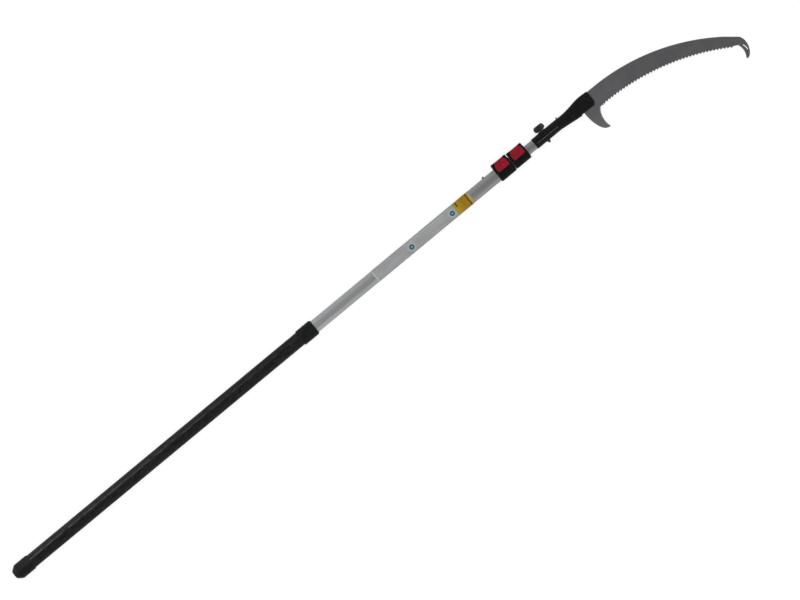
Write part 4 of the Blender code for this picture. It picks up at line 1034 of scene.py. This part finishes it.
def makeLever(prefix):
    low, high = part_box(f"{prefix}_lock_body")
    front = high.z + leverShape["gap"]
    back = -leverShape["tail"]
    narrow = lockShape["hub"] / 2
    wide = leverShape["width"] / 2
    growth = wide - narrow
    top = lockShape["knuckle"] - gap
    end = -leverShape["reach"]
    t = leverShape["thickness"]
    outside = front + t
    # outer y and z, inner y and z, half width: from behind the pin, over the top, down the front
    rows = (
        (top - 0.3 * t, back, 0.2 * t, back, narrow),
        (top, back + 0.4 * t, -0.12 * t, back + 0.4 * t, narrow),
        (top, front - 0.95 * t, -0.05 * t, front - 0.95 * t, narrow),
        (top - 0.15 * t, front + 0.3 * t, -0.35 * t, front - 0.2 * t, narrow),
        (top - 0.6 * t, outside - 0.3 * t, -0.6 * t, front, narrow + 0.15 * growth),
        (top - 1.4 * t, outside, -1.1 * t, front, narrow + 0.5 * growth),
        (end * 0.30, outside + 0.08 * t, end * 0.30, front, wide),
        (end * 0.65, outside + 0.08 * t, end * 0.65, front, wide),
        (end + 0.7 * t, outside, end + 0.7 * t, front, wide),
        (end + 0.2 * t, outside - 0.25 * t, end + 0.2 * t, front, wide - 0.4 * t),
        (end, outside - 0.5 * t, end, front + 0.15 * t, wide - 0.9 * t),
    )
    rings = []
    for row in [*rows[:2], *smoothRows(rows[2:], 3)]:
        outer, inner, half = row[:2], row[2:4], row[4]
        rings.append([(-half, *outer), (half, *outer), (half, *inner), (-half, *inner)])
    lever = loft(prefix + "LeverMoulded", rings)
    softenEdges(lever, leverShape["edge"], 3, 45.0)
    cam = turnedPiece("cam", ((-narrow, lockShape["cam"]), (narrow, lockShape["cam"])), 64)
    cutWith(lever, [moved(cam, Matrix.Translation((0, -lockShape["camOffset"], 0)))], "UNION")
    cutWith(lever, [hole(lockShape["pin"] + gap, 0.06, (0, 0, 0), Matrix())])
    finishPiece(moved(lever, Matrix.Translation((*pinPlace(low, high), 0))), [f"{prefix}_lever"])


# a row of two zinc plated screws, made from one along +X
def makeScrewPair(name, screw, first, step, axis, seed, nodes):
    values = {"Screw": screw, "First": first, "Step": (step, 0, 0), "Count": 2, "Axis": axis}
    row = grow(name, screwTree, values | {"Seed": seed, "Material": finishes["zinc_plated_steel"]})
    remove(screw)
    finishPiece(row, nodes)


def makeLockScrews(prefix):
    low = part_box(f"{prefix}_lock_body")[0]
    fixed = lockSides[prefix]["fixed"][0]
    face = -low.y - fixed - lockShape["screwSink"]
    head = lockShape["screwHead"]
    thin = lockShape["screw"]
    profile = ((-0.00095, thin), (face - head + thin, thin), (face - 0.0004, head), (face, head * 0.97))
    screw = turnedPiece("countersunk", profile, 40)
    cutWith(screw, crossTools(head, head * 0.9, face))
    first, second = lockShape["screwPlaces"]
    at = (low.x + lockShape["rimHeight"] + first, -fixed, 0)
    nodes = [f"{prefix}_lock_screw_{number}" for number in (1, 2)]
    makeScrewPair(prefix + "LockScrews", screw, at, second - first, (0, 0, -math.pi / 2), 3, nodes)


for prefix in lockSides:
    makeLockBody(prefix)
    makeLever(prefix)
    makeLockScrews(prefix)
print("locks ready")


holderShape = {
    "start": 1.8230, "length": 0.199,
    "socket": 0.082,  # how far the oval part reaches
    "half": (0.01575, 0.0119),
    "cheek": 0.0088,
    "chamfer": 0.0012,  # at the front of the cheeks
    "mouthRound": 0.0007,
    # share of the way to the front, growth of top and bottom, share of the depth left, squareness
    "flare": (
        (0.22, -0.00065, 0.00295, 0.95, 2.4), (0.45, 0.00205, 0.00625, 0.60, 2.9),
        (0.60, 0.00485, 0.00715, 0.30, 3.3), (0.76, 0.00655, 0.00715, 0.10, 3.6),
        (0.92, 0.00575, 0.00685, 0.02, 3.8), (0.97, 0.00535, 0.00225, 0.00, 3.8),
    ),
    "front": (0.00425, -0.00325, 3.6),
    "bore": (0.0143, 0.01045), "boreEnd": 0.0973,
    "slit": (0.008, 0.079, -0.0035, 0.0008),  # its ends, its middle across and half its width
    "knobBoss": 0.0105, "nutBoss": 0.0054, "bossHeight": 0.0009,
    "clamp": 0.0365, "clampHole": 0.0028,
    "screwAt": 0.0897, "screwHole": 0.002,
    "stepAt": 0.1496, "stepDrop": 0.00505,
    "slotHalf": 0.00125,
    "boltPlaces": (0.127, 0.175), "boltHole": 0.0028, "boltHoleEnd": 0.0063,
    "headHole": 0.0045, "headSeat": 0.00475,
    "nutHalf": 0.0043, "nutSeat": 0.00505,
    "edge": 0.00035,
    "sides": 88,
}
bladeShape = {
    "at": 2.0220,  # the holder's front face, which the places below are measured from
    "half": 0.00095,
    "spineRadius": 0.597, "spineCrest": (0.0199, 0.0188), "spineSteps": 90,
    "toothRadius": 0.669, "toothCrest": (0.0207, -0.0366),
    "firstTooth": 0.0146,
    "count": 41, "pitch": 0.00945, "depth": 0.0042, "rake": 0.28,
    "set": 0.00022,  # a tooth's tip stands this far to its side
    "toothRoot": 0.0007,  # how far a tooth reaches into the plate
    "shoulder": -0.024,  # where the tang leaves the spine
    "tangTop": ((-0.032, 0.011), (-0.089, 0.009), (-0.092, 0.006)),
    "tangLow": ((-0.092, -0.006), (-0.089, -0.009), (-0.0421, -0.009)),
    "tangHole": 0.0028,
    # measured from the edge's end, along it and square to it
    "hookRoot": ((-0.0220, 0.0315),),
    "hookOuter": (
        (-0.0036, 0.0304), (0.0134, 0.0285), (0.0216, 0.0264), (0.0308, 0.0188), (0.0369, 0.0095),
        (0.0410, -0.0021), (0.0422, -0.0150), (0.0398, -0.0262), (0.0350, -0.0322),
    ),
    "hookInner": (
        (0.0308, -0.0317), (0.0303, -0.0264), (0.0281, -0.0154), (0.0230, -0.0051),
        (0.0151, 0.0030), (0.0099, 0.0052), (0.0058, 0.0047),
    ),
    "hookSlot": ((0.0262, 0.0048), (0.0325, -0.0012), (0.0366, -0.0078)), "slotWidth": 0.0022,
    # measured from the edge's start
    "sickleInner": (  # the side that cuts
        (0.0004, -0.0008), (-0.0076, 0.0018), (-0.0130, -0.0009), (-0.0187, -0.0087),
        (-0.0235, -0.0209), (-0.0255, -0.0345), (-0.0251, -0.0447), (-0.0227, -0.0571),
    ),
    "sickleOuter": (
        (-0.0310, -0.0555), (-0.0394, -0.0504), (-0.0457, -0.0415),
        (-0.0506, -0.0298), (-0.0543, -0.0146), (-0.0562, 0.0010),
    ),
    # an edge's bevel: its width and the half thickness left
    "eased": (0.0005, 0.0006), "ground": (0.0016, 0.00035),
    "sharp": (0.0024, 0.00022), "bare": (0.00003, 0.00092),
    "sharpFrom": 9,  # the first points of the sickle's inner side aren't ground
    "crease": 12.0,  # degrees
}
# turns a piece made along +X to +Y and puts it on the clamp's axis
clampAt = Matrix.Translation((holderShape["start"] + holderShape["clamp"], 0, 0)) @ alongY


def spineY(x):
    crestX, crestY = bladeShape["spineCrest"]
    radius = bladeShape["spineRadius"]
    return crestY - radius + math.sqrt(radius**2 - (x - crestX) ** 2)


# the tang, or its slot where it is larger by slack
def tangOutline(slack=0.0):
    shoulder, (first, *top) = bladeShape["shoulder"], bladeShape["tangTop"]
    points = [(shoulder, spineY(shoulder) + slack), (first[0], first[1] + slack)]
    points += [(x - slack, y + slack) for x, y in top]
    return points + [(x - slack, y - slack) for x, y in bladeShape["tangLow"]]


def makeHolder():
    shape = holderShape
    start = shape["start"]
    halfY, halfZ = shape["half"]
    cheek = shape["cheek"]
    rows = [(shape["socket"], halfY, -halfY, halfZ, 2.1)]
    for along, top, bottom, share, power in shape["flare"]:
        x = shape["socket"] + (shape["length"] - shape["socket"]) * along
        rows.append((x, halfY + top, -halfY - bottom, cheek + (halfZ - cheek) * share, power))
    top, bottom, power = shape["front"]
    rows.append((shape["length"], halfY + top, -halfY - bottom, cheek - shape["chamfer"], power))
    mouth = []
    for along, less in ((0.0, 1.0), (0.15, 0.55), (0.5, 0.15), (1.0, 0.0)):
        less *= shape["mouthRound"]
        mouth.append((shape["mouthRound"] * along, halfY - less, less - halfY, halfZ - less, 2.0))
    mouth += [(shape["socket"] * share, halfY, -halfY, halfZ, 2.0) for share in (0.2, 0.4, 0.6, 0.8)]
    rings = []
    for x, top, bottom, half, power in mouth + smoothRows(rows, 7):
        middle = (top + bottom) / 2
        rings.append(ovalRing(start + x, (top - bottom) / 2, half, power, shape["sides"], middle))
    holder = loft("bladeHolderCast", rings)
    seat = halfY + shape["bossHeight"]
    bosses = []
    for side, radius in ((1, shape["knobBoss"]), (-1, shape["nutBoss"])):
        profile = [(halfY / 2, radius), (seat - gap, radius), (seat, radius - gap)]
        profile = [(side * x, radius) for x, radius in profile[::side]]
        bosses.append(moved(turnedPiece("boss", profile, 64), clampAt))
    cutWith(holder, bosses, "UNION")
    low, high, slitY, slitHalf = shape["slit"]
    outline = [(0.02, spineY(0) + gap), (0.0, spineY(0) + gap), *tangOutline(gap)]
    outline += [(outline[-1][0], -0.05), (0.02, -0.05)]
    outline = [(bladeShape["at"] + x, y) for x, y in outline]
    under = -halfY - shape["stepDrop"]
    tools = [
        loft("bore", [ovalRing(start + x, *shape["bore"]) for x in (-0.02, shape["boreEnd"])]),
        block("slit", (start + low, slitY - slitHalf, -0.03), (start + high, slitY + slitHalf, 0.03)),
        hole(shape["clampHole"], 0.08, (start + shape["clamp"], 0, 0), alongY),
        hole(shape["screwHole"], 0.012, (start + shape["screwAt"], halfY, 0), alongY),
        block("step", (start + shape["stepAt"], -0.06, -0.03), (start + 0.3, under, 0.03)),
        plate("slot", outline, -shape["slotHalf"], shape["slotHalf"]),
    ]
    for along in shape["boltPlaces"]:
        x = start + along
        spot = Matrix.Translation((x, 0, 0)) @ alongZ
        head = ((-0.03, shape["headHole"]), (-shape["headSeat"], shape["headHole"]))
        tools.append(moved(turnedPiece("headSeat", head, 40), spot))
        shank = ((-0.02, shape["boltHole"]), (shape["boltHoleEnd"], shape["boltHole"]))
        tools.append(moved(turnedPiece("boltHole", shank, 32), spot))
        half = shape["nutHalf"]
        tools.append(block("nutPocket", (x - half, -half, 0), (x + half, half, shape["nutSeat"])))
    cutWith(holder, tools)
    softenEdges(holder, shape["edge"], 2, 50.0)
    finishPiece(holder, ["blade_holder"])


knobShape = {
    "lobes": 6, "lobeDepth": 0.0022,
    "radius": 0.0158, "height": 0.0156,
    "neckRadius": 0.0118, "neck": 0.0008,
    "bore": 0.011, "hole": 0.0028,
    "dish": 0.0012,
    "count": 144,
    # shares of the height, the radius and the lobes' depth
    "side": (
        (0.07, 0.90, 0.5), (0.12, 0.96, 0.8), (0.18, 0.99, 1.0), (0.25, 1.0, 1.0), (0.55, 1.0, 1.0),
        (0.75, 0.95, 1.0), (0.88, 0.87, 1.0), (0.96, 0.79, 0.9), (1.0, 0.72, 0.7),
    ),
}


def lobedRing(x, radius, depth=0.0):
    lobes, count = knobShape["lobes"], knobShape["count"]
    return polarRing(x, count, lambda angle: radius - depth * ((1 - math.cos(lobes * angle)) / 2) ** 1.5)


def makeKnob():
    shape = knobShape
    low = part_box("clamp_knob")[0].y
    full, deep, neck, height = shape["radius"], shape["lobeDepth"], shape["neck"], shape["height"]
    rings = [lobedRing(low + shape["bore"], shape["hole"]), lobedRing(low, shape["hole"])]
    rings += [lobedRing(low, shape["neckRadius"] - gap), lobedRing(low + gap, shape["neckRadius"])]
    profile = [(neck, shape["neckRadius"], 0.0)]
    profile += [(neck + height * along, full * wide, deep * lobe) for along, wide, lobe in shape["side"]]
    rings += [lobedRing(low + x, radius, depth) for x, radius, depth in smoothRows(profile, 3)]
    top, dish = low + neck + height, shape["dish"]
    rings += [lobedRing(top - 0.0001, full * 0.66, 0.4 * deep), lobedRing(top - dish * 0.8, full * 0.58)]
    rings += [lobedRing(top - dish, full * 0.53), lobedRing(top - dish, full * 0.2)]
    knob = moved(loft("clampKnobMoulded", rings), clampAt)
    finishPiece(knob, ["clamp_knob"], finishes["knob_nylon_painted_light"])


threadShape = {
    "radius": 0.0025, "pitch": 0.0008, "depth": 0.00026, "rows": 8, "sides": 40,
    "end": -0.008,  # plain from here on
    "point": 0.0007,  # length and depth of the turned tip
    "fadeIn": 0.0008, "fadeOut": 0.001,
}


# an M5 bolt: threaded past the nut and into the socket, plain under the knob
def makeBolt():
    shape = threadShape
    low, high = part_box("clamp_bolt")
    rings = []
    x = low.y
    while x < shape["end"]:
        ease = max(min(1.0, (x - low.y) / shape["fadeIn"], (shape["end"] - x) / shape["fadeOut"]), 0.0)
        full = shape["radius"] - shape["point"] * max(0.0, 1 - (x - low.y) / shape["point"])

        def radiusAt(angle):
            wave = (x / shape["pitch"] - angle / (2 * math.pi)) % 1.0
            return full - shape["depth"] * abs(2 * wave - 1) * ease

        rings.append(polarRing(x, shape["sides"], radiusAt))
        x += shape["pitch"] / shape["rows"]
    for x in (shape["end"], high.y):
        rings.append(ovalRing(x, shape["radius"], shape["radius"], 2.0, shape["sides"]))
    finishPiece(moved(loft("clampBoltThreaded", rings), clampAt), ["clamp_bolt"])


nutShape = {"corner": 0.0046, "bore": 0.0028, "count": 96, "chamfer": 0.0005, "washerEdge": 0.0002}


# a hexagon nut with its corners turned off at both ends
def makeNut():
    low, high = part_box("clamp_nut")
    bore, corner, count, cut = (nutShape[name] for name in ("bore", "corner", "count", "chamfer"))
    flat = corner * math.cos(math.pi / 6)
    rings = [ovalRing(low.y, bore, bore, 2.0, count)]
    ends = ((0.0, flat * 0.985), (cut * 0.5, flat * 1.05), (cut, corner))
    sides = [(low.y + x, limit) for x, limit in ends] + [(high.y - x, limit) for x, limit in ends[::-1]]
    sixth = math.pi / 3
    for x, limit in sides:

        def radiusAt(angle):
            return min(flat / math.cos(angle % sixth - sixth / 2), limit)

        rings.append(polarRing(x, count, radiusAt))
    rings.append(ovalRing(high.y, bore, bore, 2.0, count))
    finishPiece(moved(loft("clampNutTurned", rings, closed=True), clampAt), ["clamp_nut"])


def makeWasher():
    low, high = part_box("clamp_washer")
    bore, edge, radius = nutShape["bore"], nutShape["washerEdge"], high.z
    profile = ((low.y, bore), (low.y, radius - edge), (low.y + edge, radius))
    profile += ((high.y - edge, radius), (high.y, radius - edge), (high.y, bore))
    washer = turnedPiece("clampWasherPressed", profile, 64, closed=True)
    finishPiece(moved(washer, clampAt), ["clamp_washer"])


boltShape = {"head": 0.0042, "height": 0.0026, "shank": 0.0025, "seat": 0.00505, "end": 0.00565}


def makeBladeBolts():
    head, height, shank, seat, end = boltShape.values()
    top = seat + height
    profile = [(-end, shank * 0.85), (-end + 0.0004, shank), (seat, shank), (seat, head - 0.0002)]
    profile += [(seat + 0.0002, head), (top - 0.0007, head)]
    profile += [(top - 0.0003, head * 0.94), (top, head * 0.8)]
    bolt = cutWith(turnedPiece("panHead", profile, 40), crossTools(head, height, top))
    first, second = holderShape["boltPlaces"]
    at = (holderShape["start"] + first, 0, 0)
    nodes = ["blade_bolt_1", "blade_bolt_2"]
    makeScrewPair("bladeBolts", bolt, at, second - first, (0, math.pi / 2, 0), 5, nodes)


makeHolder()
makeKnob()
makeBolt()
makeNut()
makeWasher()
makeBladeBolts()
print("holder ready")


# the angle from +Y to a place so many pitches from the first tooth, about the centre of their arc
def toothAngle(pitches):
    radius = bladeShape["toothRadius"]
    first = math.asin((bladeShape["firstTooth"] - bladeShape["toothCrest"][0]) / radius)
    return first + pitches * bladeShape["pitch"] / radius


def toothPoint(pitches, inwards=0.0):
    crestX, crestY = bladeShape["toothCrest"]
    radius, angle = bladeShape["toothRadius"], toothAngle(pitches)
    reach = radius + inwards
    return Vector((crestX + reach * math.sin(angle), crestY - radius + reach * math.cos(angle)))


# places by the edge's end, measured along it and square to it
def byTip(spots):
    angle = toothAngle(bladeShape["count"])
    along = Vector((math.cos(angle), -math.sin(angle)))
    across = Vector((math.sin(angle), math.cos(angle)))
    return [toothPoint(bladeShape["count"]) + along * u + across * v for u, v in spots]


# the blade without its teeth, as (point, width of the edge's bevel, half thickness left there)
def bladeOutline():
    shape = bladeShape
    eased = shape["eased"]
    crestX, crestY = shape["spineCrest"]
    centre = Vector((crestX, crestY - shape["spineRadius"]))
    root = byTip(shape["hookRoot"])[0] - centre
    first = math.asin((shape["shoulder"] - crestX) / shape["spineRadius"])
    last = math.atan2(root.x, root.y)
    rows = []
    for step in range(1, shape["spineSteps"] + 1):
        turn = first + (last - first) * step / shape["spineSteps"]
        rows.append((centre + shape["spineRadius"] * Vector((math.sin(turn), math.cos(turn))), *eased))
    outer, inner = byTip(shape["hookOuter"]), byTip(shape["hookInner"])
    hook = smoothRows([tuple(point) for point in (rows[-1][0], *outer, *inner)], 6)[1:]
    tip = outer[-1].lerp(inner[0], 0.5)
    innerSide = range(6 * len(outer) + 3, len(hook) - 6)
    for index, point in enumerate(map(Vector, hook)):
        width, left = shape["ground"] if index in innerSide else eased
        near = min(1.0, (point - tip).length / 0.012)
        rows.append((point, width * (0.35 + 0.65 * near), left))
    for index in range(shape["count"], -1, -1):
        rows.append((toothPoint(index, shape["depth"]), *shape["bare"]))
    heel = toothPoint(0)
    tip = heel + Vector(shape["sickleInner"][-1])
    for side, steps in (("sickleInner", 7), ("sickleOuter", 6)):
        for index, spot in enumerate(smoothRows(shape[side], steps)):
            point = heel + Vector(spot)
            isSharp = side == "sickleInner" and index > shape["sharpFrom"]
            width, left = shape["sharp"] if isSharp else eased
            rows.append((point, max(width * min(1.0, (point - tip).length / 0.02), 0.0002), left))
    return rows + [(Vector(spot), *eased) for spot in tangOutline()[::-1]]


def makeBladePlate():
    rows = bladeOutline()
    count = len(rows)
    bm = bmesh.new()
    ground = bm.faces.layers.float.new("ground")
    half = bladeShape["half"]
    rims = [[], [], [], []]
    for index, (point, width, left) in enumerate(rows):
        before = (point - rows[index - 1][0]).normalized()
        after = (rows[(index + 1) % count][0] - point).normalized()
        sideA = Vector((before.y, -before.x))
        miter = (sideA + Vector((after.y, -after.x))).normalized()
        miter /= max(miter.dot(sideA), 0.5)
        outer = point + Vector((bladeShape["at"], 0))
        inner = point + miter * width + Vector((bladeShape["at"], 0))
        corners = ((*inner, half), (*outer, left), (*outer, -left), (*inner, -half))
        for rim, corner in zip(rims, corners):
            rim.append(bm.verts.new(corner))
    for first, second in zip(rims, rims[1:]):
        for index in range(count):
            after = (index + 1) % count
            face = bm.faces.new((first[index], first[after], second[after], second[index]))
            face[ground] = 1.0 if min(rows[index][1], rows[after][1]) > 0.0001 else 0.0
    bm.faces.new(rims[0])
    bm.faces.new(rims[3])
    return toObject("sawBladeGround", bm, bladeShape["crease"])


# a tooth whose tip stands out to the side, made at the blade's outline with its tip at y 0
def makeTooth(name, side):
    shape = bladeShape
    pitch, depth, half = shape["pitch"], shape["depth"], shape["half"]
    root = half - 0.00004
    low, high = sorted((side * (half + shape["set"]), side * half * 0.1))
    below = depth + shape["toothRoot"]
    outline = ((0, below), (0, depth), (shape["rake"] * pitch, 0), (pitch, depth), (pitch, below))
    bm = bmesh.new()
    heights = (root, half, high, half, root, -root, -half, low, -half, -root)
    corners = [bm.verts.new((*spot, z)) for spot, z in zip(outline * 2, heights)]
    faces = [(0, 1, 3, 4), (1, 2, 3), (5, 9, 8, 6), (6, 8, 7)]
    faces += [(index, index + 5, (index + 1) % 5 + 5, (index + 1) % 5) for index in range(5)]
    ground = bm.faces.layers.float.new("ground")
    for index, face in enumerate(faces):
        made = bm.faces.new([corners[corner] for corner in face])
        made[ground] = 0.8 if index in (5, 6) else 0.0
    return toObject(name, bm, shape["crease"])


# the slot through the tip hook, round at both ends
def hookSlotTool():
    spots = byTip(bladeShape["hookSlot"])
    line = [Vector(point) for point in smoothRows([tuple(spot) for spot in spots], 6)]
    width = bladeShape["slotWidth"]
    left, right = [], []
    for index, point in enumerate(line):
        ahead = line[min(index + 1, len(line) - 1)] - line[max(index - 1, 0)]
        side = Vector((-ahead.y, ahead.x)).normalized() * width / 2
        left.append(point + side)
        right.append(point - side)
    pairs = ((line[-1], line[-2]), (line[0], line[1]))
    ends = [end + (end - before).normalized() * width * 0.4 for end, before in pairs]
    outline = (*left, ends[0], *right[::-1], ends[1])
    outline = [(point.x + bladeShape["at"], point.y) for point in outline]
    return plate("hookSlot", outline, -0.003, 0.003)


def makeBlade():
    shape = bladeShape
    radius = shape["toothRadius"]
    blade = makeBladePlate()
    tools = [hookSlotTool()]
    for place in holderShape["boltPlaces"]:
        tools.append(hole(shape["tangHole"], 0.01, (holderShape["start"] + place, 0, 0), alongZ))
    cutWith(blade, tools)
    teeth = [makeTooth("rightTooth", 1), makeTooth("leftTooth", -1)]
    crestX, crestY = shape["toothCrest"]
    values = {"Right Tooth": teeth[0], "Left Tooth": teeth[1], "Count": shape["count"]}
    values |= {"Centre": (shape["at"] + crestX, crestY - radius, 0), "Radius": radius}
    values |= {"First Angle": toothAngle(0), "Pitch Angle": shape["pitch"] / radius}
    row = grow("teeth", toothTree, values | {"Material": finishes["saw_steel"]})
    bm = bmesh.new()
    bm.from_mesh(blade.data)
    bm.from_mesh(row.data)
    bm.to_mesh(blade.data)
    bm.free()
    shade(blade.data, shape["crease"])
    remove(row, *teeth)
    finishPiece(blade, ["saw_blade"])


makeBlade()
print("blade ready")

# what keeps its own solid: pins, shoes, bushes, plugs, rings and the hidden nuts
kept = [node for node, obj in frame["nodes"].items() if not obj.hide_render]
for node in kept:
    mesh = frame["nodes"][node].data
    mesh.materials.clear()
    mesh.materials.append(finishes[slotOf[node]])
print("kept nodes:", ", ".join(sorted(kept)))
